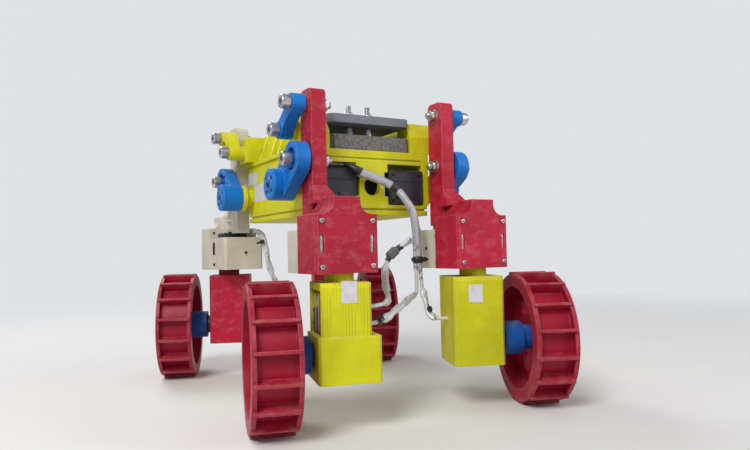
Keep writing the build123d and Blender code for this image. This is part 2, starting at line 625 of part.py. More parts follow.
def link_bosses():
    """The bosses that the links swing against: sloped blocks for the upper links, necks for the cranks."""
    bosses = Part()
    for end in (-1, 1):
        pivot = end * body_pivot_a
        low, high = deck_top + FRAME_LEDGE, frame_top
        outline = Polyline(
            (pivot - end * BOSS_BLOCK_INWARD, low), (end * chassis_end, low),
            (end * chassis_end, high - FRAME_SLOPE_HEIGHT), (end * (chassis_end - FRAME_SLOPE_LENGTH), high),
            (pivot - end * BOSS_BLOCK_INWARD, high), close=True,
        )
        upper = side_slab(make_face(outline), wall_inner, BOSS_BLOCK_FACE)
        upper += cross_rod(pivot, body_upper_z, BOSS_BLOCK_FACE, swing_face, LINK_BOSS_RADIUS)
        upper -= cross_rod(pivot, body_upper_z, wall_inner, swing_face, BOLT_RADIUS)
        lower = cross_rod(pivot, servo_axis_z, swing_face - CRANK_FLANGE, swing_face, CRANK_BOSS_RADIUS)
        x0, x1 = sorted((end * chassis_end, pivot - end * CRANK_BOSS_RADIUS))
        z0, z1 = servo_axis_z - CRANK_BOSS_RADIUS, servo_axis_z + CRANK_BOSS_RADIUS
        lower &= block(x0, x1, WALL_OUTER, swing_face, z0, z1)
        lower += cross_rod(pivot, servo_axis_z, WALL_OUTER, swing_face, CRANK_NECK_RADIUS)
        lower -= cross_rod(pivot, servo_axis_z, WALL_OUTER, swing_face, CRANK_BARREL_RADIUS + RUNNING_GAP)
        bosses += upper + lower + mirror(upper, about=Plane.XZ) + mirror(lower, about=Plane.XZ)
    return bosses


def frame_screws():
    """The four screws that the upper links swing on at the chassis."""
    screws = Part()
    for end in (-1, 1):
        screw = cap_screw(end * body_pivot_a, body_upper_z, frame_screw_tip, link_outer + RUNNING_GAP)
        screws += screw + mirror(screw, about=Plane.XZ)
    return screws


def end_plates(z0, z1):
    """A plate at each end of the deck, its outward corners cut off, less the studs."""
    plates = Part()
    for end in (-1, 1):
        middle = end * (chassis_end - BLOCK_LENGTH / 2)
        plate = extrude(Pos(middle, 0, z0) * Rectangle(BLOCK_LENGTH, block_width), z1 - z0)
        outward = plate.edges().filter_by(Axis.Z).group_by(Axis.X)[-1 if end > 0 else 0]
        plates += chamfer(outward, BLOCK_CORNER)
    return plates - clamp_studs()


def grey_blocks():
    """The grey blocks on the deck."""
    return end_plates(deck_top, deck_top + BLOCK_HEIGHT)


def clamp_plates():
    """The clamp plates over the blocks, held by two studs each."""
    return end_plates(clamp_bottom, clamp_top)


def clamp_studs():
    """Studs with spacer sleeves between block and plate, and washers on top."""
    studs = Part()
    block_top = deck_top + BLOCK_HEIGHT
    for end in (-1, 1):
        for side in (-1, 1):
            place = (end * stud_a, side * STUD_SPACING / 2)
            stud = extrude(Pos(*place, deck_top) * Circle(STUD_SHANK_RADIUS), clamp_top - deck_top)
            stud += extrude(Pos(*place, clamp_top) * Circle(STUD_RADIUS), STUD_PROUD)
            stud += extrude(Pos(*place, block_top) * Circle(STUD_SLEEVE_RADIUS), CLAMP_GAP)
            studs += stud + extrude(Pos(*place, clamp_top) * Circle(WASHER_RADIUS), WASHER_HEIGHT)
    return studs


def cord_path(points):
    """A route's runs, joined by arcs as large as the runs allow."""
    stops = [Vector(*point) for point in points]
    radii = []
    for before, corner, after in zip(stops, stops[1:], stops[2:]):
        turn = radians((corner - before).get_angle(after - corner))
        run = min((corner - before).length, (after - corner).length)
        radii.append(ARC_SHARE * run / tan(turn / 2))
    print("arc radii", [round(radius, 1) for radius in radii])
    return FilletPolyline(*points, radius=radii)


def cord_tube(path, section):
    """A flat section, drawn about the origin, carried along a path."""
    return sweep(Plane(path @ 0, z_dir=path % 0) * section, path)


def placed(route, end):
    """A route's points in the rover's frame."""
    return [(end * (chassis_end + out), y, servo_axis_z + up) for out, y, up in route]


def cable_sleeve():
    """The braided sleeve from the rear post, open at its lower end around the leads."""
    return cord_tube(cord_path(placed(SLEEVE_ROUTE, -1)), Circle(SLEEVE_RADIUS) - Circle(SLEEVE_BORE))


def cable_ties():
    """The ties around the sleeve: at the post, at the first bend and near the lower end."""
    path = cord_path(placed(SLEEVE_ROUTE, -1))
    ring = Circle(SLEEVE_RADIUS + TIE_SLACK + TIE_WALL) - Circle(SLEEVE_RADIUS + TIE_SLACK)
    share = TIE_LENGTH / path.length
    ties = Part()
    for start in (share / 2, BEND_TIE_SHARE, 1 - 2 * share):
        place = Plane(path @ start, z_dir=path % start)
        ties += extrude(place * ring, TIE_LENGTH)
    return ties


def lead(row):
    """One lead, from its route's start to the side of its motor box."""
    corner = next(c for c in CORNERS if c.name == row.corner)
    inner = BOX_INNER - (STEP_UPPER_INSET if corner.stepped_box else 0)
    turn = radians(corner.steer)
    points = placed(row.route, corner.end)
    for reach in (inner + LEAD_APPROACH, inner):
        y = -corner.side * reach
        points.append((
            corner.end * STEER_A + row.entry_x * cos(turn) - y * sin(turn),
            corner.side * STEER_B + row.entry_x * sin(turn) + y * cos(turn),
            servo_axis_z + row.entry_z,
        ))
    return cord_tube(cord_path(points), Circle(LEAD_RADIUS))


CHASSIS_PIECES = (
    ("base_plate", base_plate()),
    ("side_wall_left", side_wall(1)),
    ("side_wall_right", side_wall(-1)),
    ("lift_servos", lift_servos()),
    ("end_post_rear", end_post(-1)),
    ("end_post_front", end_post(1)),
    ("deck_beams", deck_beams()),
    ("upper_frame_left", upper_frame(1)),
    ("upper_frame_right", upper_frame(-1)),
    ("link_bosses", link_bosses()),
    ("frame_screws", frame_screws()),
    ("grey_blocks", grey_blocks()),
    ("clamp_plates", clamp_plates()),
    ("clamp_studs", clamp_studs()),
    ("cable_sleeve", cable_sleeve()),
    ("cable_ties", cable_ties()),
)

os.makedirs("parts", exist_ok=True)
for node, shape in CHASSIS_PIECES:
    export_step(shape, f"parts/{node}.step")
for corner in CORNERS:
    for piece, shape in corner_pieces(corner):
        export_step(shape, f"parts/{corner.name}_{piece}.step")
for row in LEADS:
    export_step(lead(row), f"parts/{row.node}.step")
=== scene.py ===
from math import cos, pi, radians, sin

import bpy
import numpy as np
from mathutils import Matrix, Vector


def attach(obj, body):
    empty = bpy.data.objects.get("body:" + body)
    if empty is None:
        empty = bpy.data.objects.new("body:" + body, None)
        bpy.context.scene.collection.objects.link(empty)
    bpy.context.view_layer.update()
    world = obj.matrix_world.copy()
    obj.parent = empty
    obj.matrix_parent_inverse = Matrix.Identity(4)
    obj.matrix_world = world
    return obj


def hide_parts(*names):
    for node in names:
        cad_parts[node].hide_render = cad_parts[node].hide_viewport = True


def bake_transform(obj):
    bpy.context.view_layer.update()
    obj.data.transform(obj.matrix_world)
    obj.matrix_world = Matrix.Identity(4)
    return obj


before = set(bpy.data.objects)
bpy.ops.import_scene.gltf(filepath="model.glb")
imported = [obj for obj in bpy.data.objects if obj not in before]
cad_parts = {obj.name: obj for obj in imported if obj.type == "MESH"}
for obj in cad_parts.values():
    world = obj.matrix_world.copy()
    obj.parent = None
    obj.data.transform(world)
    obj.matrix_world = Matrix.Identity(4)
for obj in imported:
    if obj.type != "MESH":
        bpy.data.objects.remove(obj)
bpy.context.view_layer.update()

# ---- camera ----
# It stands low behind the rover's left rear wheel and looks up a little, past both rear legs, along
# the chassis. Its place is in metres; heading, lift and lean turn it from a level look along +X.
camera = bpy.data.objects.new("camera", bpy.data.cameras.new("camera"))
bpy.context.collection.objects.link(camera)
camera.data.sensor_width = 36.0
camera.data.lens = 31.76
camera.data.clip_start = 0.01
camera.data.clip_end = 60.0
place = (-0.62451, 0.30875, 0.13984)
heading, lift, lean = radians(-29.87), radians(2.28), radians(-1.26)
ahead = Vector((cos(lift) * cos(heading), cos(lift) * sin(heading), sin(lift)))
level_right = Vector((sin(heading), -cos(heading), 0.0))
level_up = level_right.cross(ahead)
right = level_right * cos(lean) + level_up * sin(lean)
up = right.cross(ahead)
attitude = Matrix((right, up, -ahead)).transposed().to_4x4()
camera.matrix_world = Matrix.Translation(place) @ attitude
bpy.context.scene.camera = camera

# ---- floor and light ----
# A plain pale table that fades into a pale studio sky, with a large soft lamp high on the left behind
# the camera, a weaker one on the right and one behind, so that every side can be read.
def shader(name, colour=(0.8, 0.8, 0.8), rough=0.5, metal=0.0, **sockets):
    """A material with one Principled shader. Returns the material, its nodes, its links and the shader."""
    made = bpy.data.materials.new(name)
    made.use_nodes = True
    nodes, links = made.node_tree.nodes, made.node_tree.links
    surface = nodes["Principled BSDF"]
    surface.inputs["Base Color"].default_value = (*colour, 1.0)
    surface.inputs["Roughness"].default_value = rough
    surface.inputs["Metallic"].default_value = metal
    for socket, value in sockets.items():
        surface.inputs[socket.replace("_", " ")].default_value = value
    return made, nodes, links, surface


def own_place(nodes):
    """A socket with each point's place in its object's own coordinates, in metres."""
    return nodes.new("ShaderNodeTexCoord").outputs["Object"]


def noise(nodes, links, where, scale, detail=3.0, rough=0.55, stretch=(1.0, 1.0, 1.0)):
    """Noise over a position socket, with scale in cells per metre and stretch along each axis."""
    spread = nodes.new("ShaderNodeMapping")
    spread.inputs["Scale"].default_value = stretch
    links.new(where, spread.inputs["Vector"])
    grain = nodes.new("ShaderNodeTexNoise")
    grain.inputs["Scale"].default_value = scale
    grain.inputs["Detail"].default_value = detail
    grain.inputs["Roughness"].default_value = rough
    links.new(spread.outputs["Vector"], grain.inputs["Vector"])
    return grain.outputs["Fac"]


def between(nodes, links, value, low, high, to_low=0.0, to_high=1.0):
    """A value rescaled from low..high to to_low..to_high and held inside it."""
    fit = nodes.new("ShaderNodeMapRange")
    for socket, number in (("From Min", low), ("From Max", high), ("To Min", to_low), ("To Max", to_high)):
        fit.inputs[socket].default_value = number
    links.new(value, fit.inputs["Value"])
    return fit.outputs["Result"]


def mixed(nodes, links, share, first, second):
    """A colour between two, each an RGB tuple or a colour socket, by a share from 0 to 1."""
    mix = nodes.new("ShaderNodeMix")
    mix.data_type = "RGBA"
    links.new(share, mix.inputs["Factor"])
    for socket, colour in ((mix.inputs[6], first), (mix.inputs[7], second)):
        if isinstance(colour, tuple):
            socket.default_value = (*colour, 1.0)
        else:
            links.new(colour, socket)
    return mix.outputs[2]


def math_node(nodes, links, operation, *terms):
    """One Math node over numbers or sockets."""
    step = nodes.new("ShaderNodeMath")
    step.operation = operation
    for slot, term in enumerate(terms):
        if isinstance(term, (int, float)):
            step.inputs[slot].default_value = term
        else:
            links.new(term, step.inputs[slot])
    return step.outputs[0]


table_finish, nodes, links, surface = shader("table_top", rough=0.85)
where = own_place(nodes)
links.new(mixed(nodes, links, noise(nodes, links, where, 9.0), (0.70, 0.69, 0.675), (0.75, 0.74, 0.73)),
          surface.inputs["Base Color"])
reach = nodes.new("ShaderNodeVectorMath")
reach.operation = "LENGTH"
links.new(where, reach.inputs[0])
clear = nodes.new("ShaderNodeBsdfTransparent")
fade = nodes.new("ShaderNodeMixShader")
links.new(between(nodes, links, reach.outputs["Value"], 0.45, 1.5), fade.inputs["Fac"])
links.new(surface.outputs["BSDF"], fade.inputs[1])
links.new(clear.outputs["BSDF"], fade.inputs[2])
links.new(fade.outputs["Shader"], nodes["Material Output"].inputs["Surface"])
turns = np.linspace(0, 2 * pi, 97)[:-1]
rings = np.array((0.0, 0.4, 1.5, 6.0, 25.0))
level = np.zeros((len(rings), len(turns)))
corners = np.stack((np.outer(rings, np.cos(turns)), np.outer(rings, np.sin(turns)), level), -1)
index = np.arange(level.size).reshape(level.shape)
quads = np.stack((index[:-1], index[1:], np.roll(index, -1, 1)[1:], np.roll(index, -1, 1)[:-1]), -1)
table_mesh = bpy.data.meshes.new("table_top")
table_mesh.from_pydata(corners.reshape(-1, 3), [], quads.reshape(-1, 4).tolist())
table_mesh.materials.append(table_finish)
table_top = bpy.data.objects.new("table_top", table_mesh)
bpy.context.collection.objects.link(table_top)

world = bpy.data.worlds.new("studio")
bpy.context.scene.world = world
world.use_nodes = True
nodes, links = world.node_tree.nodes, world.node_tree.links
sky = nodes["Background"]
sky.inputs["Color"].default_value = (0.90, 0.92, 0.95, 1.0)
seen = nodes.new("ShaderNodeLightPath")
direct = math_node(nodes, links, "MAXIMUM", seen.outputs["Is Camera Ray"],
                   seen.outputs["Is Transmission Ray"])
lighting_strength, seen_strength = 0.42, 0.82
links.new(between(nodes, links, direct, 0.0, 1.0, lighting_strength, seen_strength), sky.inputs["Strength"])

for name, spot, target, size, power in (
    ("key_lamp", (-1.05, 1.25, 1.45), (0.0, 0.0, 0.12), 0.9, 30.0),
    ("fill_lamp", (-1.3, -1.2, 0.9), (0.0, 0.0, 0.12), 1.2, 9.0),
    ("rim_lamp", (1.4, 0.3, 1.3), (0.0, 0.0, 0.15), 1.0, 14.0),
):
    lamp = bpy.data.lights.new(name, "AREA")
    lamp.shape = "DISK"
    lamp.size = size
    lamp.energy = power
    holder = bpy.data.objects.new(name, lamp)
    bpy.context.collection.objects.link(holder)
    holder.location = spot
    holder.rotation_euler = (Vector(target) - Vector(spot)).to_track_quat("-Z", "Y").to_euler()

bpy.context.scene.view_settings.view_transform = "Standard"

# ---- cable sleeve and leads ----
# The servo leads of the rear legs leave the chassis through the middle post in one silver-white braided
# sleeve, fan out of its lower end and go into the inboard sides of the motor boxes. The front left lead
# comes out of its own housing. The leads are soft, and their slack lets the legs rise and steer.
def smooth_route(points):
    """Points, in metres, along the NURBS curve of order 3 whose control points are a route's, in
    millimetres."""
    curve = bpy.data.curves.new("route", "CURVE")
    curve.dimensions = "3D"
    curve.resolution_u = 14
    spline = curve.splines.new("NURBS")
    spline.points.add(len(points) - 1)
    for control, point in zip(spline.points, points):
        control.co = (*(value / 1000 for value in point), 1.0)
    spline.order_u = 3
    spline.use_endpoint_u = True
    holder = bpy.data.objects.new("route", curve)
    line = bpy.data.meshes.new_from_object(holder)
    found = np.zeros(len(line.vertices) * 3)
    line.vertices.foreach_get("co", found)
    bpy.data.objects.remove(holder)
    bpy.data.curves.remove(curve)
    bpy.data.meshes.remove(line)
    return found.reshape(-1, 3)


def even_path(line, step):
    """A line's points spaced evenly, about step metres apart, with both ends kept, and their run lengths."""
    run = np.concatenate(([0.0], np.cumsum(np.linalg.norm(np.diff(line, axis=0), axis=1))))
    stops = np.linspace(0.0, run[-1], max(2, int(round(run[-1] / step)) + 1))
    return np.stack([np.interp(stops, run, line[:, axis]) for axis in range(3)], -1), stops


def tube_rings(line, radius):
    """Rings about a path: each point's ring is the point + radius * (n cos v + m sin v), with n along
    tangent x X axis and m = tangent x n. radius is an array (points, around)."""
    ahead = np.gradient(line, axis=0)
    ahead /= np.linalg.norm(ahead, axis=1)[:, None]
    n = np.cross(ahead, (1.0, 0.0, 0.0))
    n /= np.linalg.norm(n, axis=1)[:, None]
    m = np.cross(ahead, n)
    v = np.linspace(0, 2 * pi, radius.shape[1] + 1)[:-1]
    spread = n[:, None] * np.cos(v)[None, :, None] + m[:, None] * np.sin(v)[None, :, None]
    return line[:, None] + radius[..., None] * spread


def closed_shell(rings, caps=True):
    """Quads between neighbouring rings of an array (rings, around, 3) and a flat cap on each end ring. The
    faces are turned round if the volume they enclose is negative, so they point outward."""
    count, around = rings.shape[:2]
    index = np.arange(count * around).reshape(count, around)
    shifted = np.roll(index, -1, 1)
    faces = np.stack((index[:-1], index[1:], shifted[1:], shifted[:-1]), -1).reshape(-1, 4)
    points = rings.reshape(-1, 3)
    a, b, c, d = (points[faces[:, k]] for k in range(4))
    middle = points.mean(0)
    volume = (np.einsum("ij,ij->i", a - middle, np.cross(b - middle, c - middle)).sum()
              + np.einsum("ij,ij->i", a - middle, np.cross(c - middle, d - middle)).sum())
    faces = faces.tolist()
    if caps:
        faces += [index[0].tolist(), index[-1][::-1].tolist()]
    return points, [face[::-1] for face in faces] if volume < 0 else faces


def assembled(name, shells, finish, crease=35.0):
    """One mesh object from several shells, smooth except over edges sharper than crease degrees."""
    points, faces, start = [], [], 0
    for shell_points, shell_faces in shells:
        points.append(shell_points)
        faces += [[corner + start for corner in face] for face in shell_faces]
        start += len(shell_points)
    mesh = bpy.data.meshes.new(name)
    mesh.from_pydata(np.concatenate(points), [], faces)
    mesh.materials.append(finish)
    mesh.shade_smooth()
    mesh.set_sharp_from_angle(angle=radians(crease))
    made = bpy.data.objects.new(name, mesh)
    bpy.context.collection.objects.link(made)
    return made


SLEEVE_POINTS = (
    (-90.35, 19, 213.85), (-97.65, -13, 203.25), (-106.65, -22, 188.05), (-114.15, -29, 170.05),
    (-114.15, -29, 122.05),
)
LEAD_POINTS = {
    "rear_left_lead": (
        (-114.15, -27.05, 160.05), (-114.15, -27.05, 108.05), (-115.15, -26.5, 100.55), (-120.65, -17, 98.05),
        (-136.65, 8, 90.05),
    ),
    "rear_left_branch": (
        (-114.15, -22.5, 150.05), (-111.65, -13, 144.05), (-109.15, -3, 137.05), (-108.65, 3, 126.05),
        (-113.15, 6, 112.05), (-123.15, 10, 102.05), (-137.15, 16, 97.05),
    ),
    "rear_right_lead": (
        (-114.15, -30.95, 160.05), (-114.15, -31.25, 112.05), (-115.65, -34, 99.05), (-121.15, -33.5, 87.05),
    ),
    "front_left_lead": (
        (104.65, 60, 143.05), (104.65, 58, 158.05), (97.65, 55, 165.05), (87.65, 51.5, 165.05),
        (80.15, 48, 158.05), (80.65, 46, 147.05), (82.15, 43, 133.05), (85.15, 38, 119.05),
        (90.15, 30, 107.05), (100.15, 24, 96.05), (113.15, 24, 88.05),
    ),
}
# the steering axes' distance from the rover's middle, along it and across it, in millimetres
STEER_A, STEER_B = 145.0, 68.0
# corner: end (rear -1), side (left 1), parked steering angle
CORNERS = {
    "rear_left": (-1, 1, radians(-15)), "rear_right": (-1, -1, radians(-22)),
    "front_left": (1, 1, radians(-22)), "front_right": (1, -1, radians(-20)),
}
# lead: corner, the box's inboard side from the steering axis, how far forward it enters and how high
LEAD_ENTRIES = {
    "rear_left_lead": ("rear_left", 20.0, 0.0, 81.05), "rear_left_branch": ("rear_left", 20.0, 10.0, 94.05),
    "rear_right_lead": ("rear_right", 25.0, 0.0, 78.05), "front_left_lead": ("front_left", 25.0, 0.0, 84.05),
}


def lead_route(name):
    """A lead's route with its last straight run, square to the inboard side of its parked motor box."""
    corner, reach, forward, height = LEAD_ENTRIES[name]
    end, side, steer = CORNERS[corner]
    points = list(LEAD_POINTS[name])
    for inboard in (reach + 14.0, reach):
        across = -side * inboard
        points.append((end * STEER_A + forward * cos(steer) - across * sin(steer),
                       side * STEER_B + forward * sin(steer) + across * cos(steer), height))
    return points


def bumped(nodes, links, surface, height, distance, strength, under=None):
    """Gives the shader a bump from a height socket, over another normal socket where one is given."""
    bump = nodes.new("ShaderNodeBump")
    bump.inputs["Distance"].default_value = distance
    bump.inputs["Strength"].default_value = strength
    links.new(height, bump.inputs["Height"])
    if under is not None:
        links.new(under, bump.inputs["Normal"])
    links.new(bump.outputs["Normal"], surface.inputs["Normal"])


def cable_finish(name, colour, smudge, amount, rough, metal):
    """Silvery cable covering with grey handling marks and painted shade, in the smudge colour, in the valleys
    between its raised threads.
    """
    made, nodes, links, surface = shader(name, rough=rough, metal=metal, Coat_Weight=0.12)
    where = own_place(nodes)
    marks = between(nodes, links, noise(nodes, links, where, 210.0, 4.0), 0.56, 0.70, 0.0, amount)
    broad = noise(nodes, links, where, 45.0)
    base = mixed(nodes, links, broad, colour, tuple(0.86 * value for value in colour))
    relief = nodes.new("ShaderNodeAttribute")
    relief.attribute_name = "relief"
    # painted shade: where the relief is low, in the valleys between threads, the colour darkens toward the
    # smudge colour
    painted_valley_shade = between(nodes, links, relief.outputs["Fac"], 0.05, 0.45, 0.55, 0.0)
    base = mixed(nodes, links, painted_valley_shade, base, smudge)
    links.new(mixed(nodes, links, marks, base, smudge), surface.inputs["Base Color"])
    links.new(between(nodes, links, broad, 0.3, 0.7, rough - 0.08, rough + 0.1), surface.inputs["Roughness"])
    bumped(nodes, links, surface, noise(nodes, links, where, 1800.0, 2.0), 0.0003, 0.4)
    return made


sleeve_finish = cable_finish("braided_sleeve_silver", (0.54, 0.54, 0.58), (0.10, 0.10, 0.12), 0.75, 0.34,
                             0.35)
lead_finish = cable_finish("lead_silver_white", (0.70, 0.71, 0.75), (0.06, 0.06, 0.07), 0.8, 0.30, 0.15)

# The sleeve is woven from flat silver-white threads crossing both ways and is pressed a little flat, its
# flat side turning slowly along it. Its lower end is cut and turned in.
sleeve_line, sleeve_run = even_path(smooth_route(SLEEVE_POINTS), 0.00045)
angle = np.linspace(0, 2 * pi, 81)[:-1]
weave = 0.5 + 0.5 * (np.sin(10 * angle[None] + 2130 * sleeve_run[:, None])
                     * np.sin(10 * angle[None] - 2130 * sleeve_run[:, None]))
pressed = 0.00042 * np.cos(2 * angle[None] + 38 * sleeve_run[:, None])
inner_radius, inner_rings = 0.00345, 18
outside = tube_rings(sleeve_line, 0.00380 + 0.00016 * weave + pressed)
mouth = tube_rings(sleeve_line[:inner_rings], inner_radius + pressed[:inner_rings])[::-1]
cuff = tube_rings(sleeve_line[-inner_rings:], inner_radius + pressed[-inner_rings:])[::-1]
sleeve = assembled("cable_sleeve_braid", [closed_shell(np.concatenate((mouth, outside, cuff)))],
                   sleeve_finish, 60.0)
# relief paints shade in the weave's valleys, and its 0.3 on the turned-in ends paints them a little shaded
relief = sleeve.data.attributes.new("relief", "FLOAT", "POINT")
inner_relief = np.full(inner_rings * len(angle), 0.3)
relief.data.foreach_set("value", np.concatenate((inner_relief, weave.ravel(), inner_relief)))
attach(sleeve, "chassis")
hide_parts("cable_sleeve")

# Each lead is bound with glossy white tape in a slow helix, so one edge of each turn stands up. Over
# part of its run the tape is thicker and pressed flat, and its flat side slowly turns round the lead.
FLAT_RUNS = {
    "rear_left_lead": ((0.42, 0.88),), "rear_left_branch": ((-0.05, 0.14), (0.30, 0.80)),
    "rear_right_lead": ((0.56, 0.92),), "front_left_lead": ((0.08, 0.66),),
}
leads = {}
for name, (corner, *_) in LEAD_ENTRIES.items():
    line, run = even_path(smooth_route(lead_route(name)), 0.0007)
    angle = np.linspace(0, 2 * pi, 33)[:-1]
    turn = np.mod(run[:, None] / 0.0085 - angle[None] / (2 * pi), 1.0)
    thick = sum(np.clip(np.minimum(run - first * run[-1], last * run[-1] - run) / 0.004, 0.0, 1.0)
                for first, last in FLAT_RUNS[name])[:, None]
    flat = np.cos(2 * angle[None] + 95 * run[:, None] + 1.3 * np.sin(210 * run[:, None]))
    radius = 0.00168 + 0.00014 * turn + thick * (0.00085 + 0.00030 * turn + 0.00085 * flat)
    lead = assembled(name + "_cable", [closed_shell(tube_rings(line, radius))], lead_finish,
                     50.0)
    # relief is low just past each turn's raised edge, where the finish paints a thin line of shade
    relief = lead.data.attributes.new("relief", "FLOAT", "POINT")
    relief.data.foreach_set("value", np.clip(turn * 9, 0, 1).ravel())
    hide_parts(name)
    leads[name] = lead, line, run, corner

# ---- ties and plug on the cables ----
# A black boot leads the sleeve in over the left lift servo. Black tape holds it at its first bend and
# near its lower end, where a nylon tie is drawn over it. A small slate plug joins the leads of the left
# wheel, and three leads carry a tie.
def taped(line, run, start, length, radius):
    """Five turns of tape on a cable, from a run length and for another. The edge stands up once a turn."""
    part = (run >= start) & (run <= start + length)
    angle = np.linspace(0, 2 * pi, 41)[:-1]
    turn = np.mod((run[part, None] - start) / length * 5.0 - angle[None] / (2 * pi), 1.0)
    rings = tube_rings(line[part], radius + 0.00028 * turn)
    core = tube_rings(line[part][[0, -1]], np.full((2, 40), radius * 0.8))
    return closed_shell(np.concatenate((core[:1], rings, core[1:])))


def round_rect(width, height, radius, steps=5):
    """Points of a rectangle centred on 0,0 with round corners, counted round from its right side."""
    turn = np.linspace(0, pi / 2, steps)
    outline = []
    for quarter, (x, y) in enumerate(((1, 1), (-1, 1), (-1, -1), (1, -1))):
        corner = np.array((x * (width / 2 - radius), y * (height / 2 - radius)))
        spin = turn + quarter * pi / 2
        outline.append(corner + radius * np.stack((np.cos(spin), np.sin(spin)), -1))
    return np.concatenate(outline)


def stacked(outlines, heights, origin, across, along):
    """Rings in space: outline i, in the plane of across and the axis x across, at height i along the axis."""
    axis = np.array(along, float) / np.linalg.norm(along)
    first = np.array(across, float) - np.dot(across, axis) * axis
    first /= np.linalg.norm(first)
    second = np.cross(axis, first)
    flat = np.asarray(outlines)
    return (np.array(origin) + flat[..., :1] * first + flat[..., 1:] * second
            + np.asarray(heights)[:, None, None] * axis)


def cushion_block(width, height, depth, radius, edge, origin, across, along):
    """A block with round corners whose two end edges are rounded by edge, in rings inset and stepped in
    turn."""
    inset = np.array((edge, 0.3 * edge, 0.0, 0.0, 0.3 * edge, edge))
    level = np.array((0.0, 0.3 * edge, edge, depth - edge, depth - 0.3 * edge, depth))
    outlines = [round_rect(width - 2 * cut, height - 2 * cut, max(radius - cut, 0.3 * radius))
                for cut in inset]
    return closed_shell(stacked(outlines, level, origin, across, along))


def speckled(name, rough, scale, first, second):
    """A finish whose colour drifts between two over noise, with scale in cells per metre."""
    made, nodes, links, surface = shader(name, rough=rough)
    drift = noise(nodes, links, own_place(nodes), scale)
    links.new(mixed(nodes, links, drift, first, second), surface.inputs["Base Color"])
    return made


tape_finish = speckled("black_tape", 0.38, 500.0, (0.012, 0.012, 0.013), (0.05, 0.047, 0.045))
nylon_finish = speckled("black_nylon", 0.3, 300.0, (0.010, 0.010, 0.011), (0.03, 0.03, 0.03))
plug_finish = speckled("plug_slate", 0.35, 260.0, (0.075, 0.08, 0.095), (0.16, 0.16, 0.17))


# blocks' sizes in metres: width, height, depth, corner radius and edge radius
TIE_HEAD = (0.0046, 0.0042, 0.0034, 0.0008, 0.0005)
TIE_TAIL = (0.0022, 0.0010, 0.0065, 0.0004, 0.0002)
PLUG_BODY = (0.0086, 0.0062, 0.0105, 0.0009, 0.0005)
PLUG_RIB = (0.0014, 0.0076, 0.0085, 0.0004, 0.0003)


def nylon_tie(centre, ahead, radius, toward):
    """A nylon tie drawn round a cable: a band, a small square head over it and the cut-off tail."""
    band = np.array([(radius, -1.8), (radius + 0.9, -1.8), (radius + 1.15, -1.2), (radius + 1.15, 1.2),
                     (radius + 0.9, 1.8), (radius, 1.8)]) / 1000
    turn = np.linspace(0, 2 * pi, 33)[:-1]
    circle = np.stack((np.cos(turn), np.sin(turn)), -1)
    ring = stacked(band[:, :1, None] * circle[None], band[:, 1], centre, toward, ahead)
    side = np.array(toward, float) - np.dot(toward, ahead) * np.array(ahead)
    side /= np.linalg.norm(side)
    head = cushion_block(*TIE_HEAD, centre + side * (radius + 0.6) / 1000, ahead, side)
    tail = cushion_block(*TIE_TAIL, centre + side * (radius + 3.2) / 1000, ahead,
                         side + 0.5 * np.cross(ahead, side))
    return [closed_shell(np.concatenate((ring, ring[:1])), caps=False), head, tail]


def heading_at(line, run, place):
    """The point and the direction of a cable at a run length."""
    k = int(np.searchsorted(run, place))
    ahead = line[k + 1] - line[k - 1]
    return line[k], ahead / np.linalg.norm(ahead)


# The boot follows a cubic curve from boot_start, which it leaves along lead_in, to boot_end, where it
# arrives along lead_out. It starts round and flattens toward the servo.
share = np.linspace(0.0, 1.0, 13)[:, None]
boot_start, boot_end = sleeve_line[6], np.array((-0.0815, 0.0235, 0.2206))
lead_in, lead_out = 0.016 * np.array((0.233, 0.862, 0.447)), np.array((0.014, 0.0, 0.0))
boot_line = ((2 * share**3 - 3 * share**2 + 1) * boot_start + (share**3 - 2 * share**2 + share) * lead_in
             + (3 * share**2 - 2 * share**3) * boot_end + (share**3 - share**2) * lead_out)
boot_ahead = np.gradient(boot_line, axis=0)
boot_ahead /= np.linalg.norm(boot_ahead, axis=1)[:, None]
wide = np.stack((-boot_ahead[:, 1], boot_ahead[:, 0], np.zeros(len(share))), -1)
wide /= np.linalg.norm(wide, axis=1)[:, None]
thin = np.cross(boot_ahead, wide)
angle = np.linspace(0, 2 * pi, 41)[:-1]
rib = 0.00022 * np.sin(26 * share)
wide_size = 0.0046 + 0.0009 * share + rib
thin_size = 0.0046 - 0.0025 * share**0.8 + rib
boot_rings = (boot_line[:, None] + (wide_size * np.cos(angle)[None])[..., None] * wide[:, None]
              + (thin_size * np.sin(angle)[None])[..., None] * thin[:, None])
entry_boot = closed_shell(boot_rings)
bend_tape = taped(sleeve_line, sleeve_run, start=0.0345, length=0.0085, radius=0.0046)
low_tape = taped(sleeve_line, sleeve_run, start=sleeve_run[-1] - 0.0125, length=0.0065, radius=0.0045)
tapes = assembled("sleeve_tapes", [entry_boot, bend_tape, low_tape], tape_finish)
spot, ahead = heading_at(sleeve_line, sleeve_run, sleeve_run[-1] - 0.0095)
low_tie = assembled("sleeve_tie", nylon_tie(spot, ahead, 4.7, (-1.0, -0.4, 0.0)), nylon_finish)
for piece in (tapes, low_tie):
    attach(piece, "chassis")
    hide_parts("cable_ties")

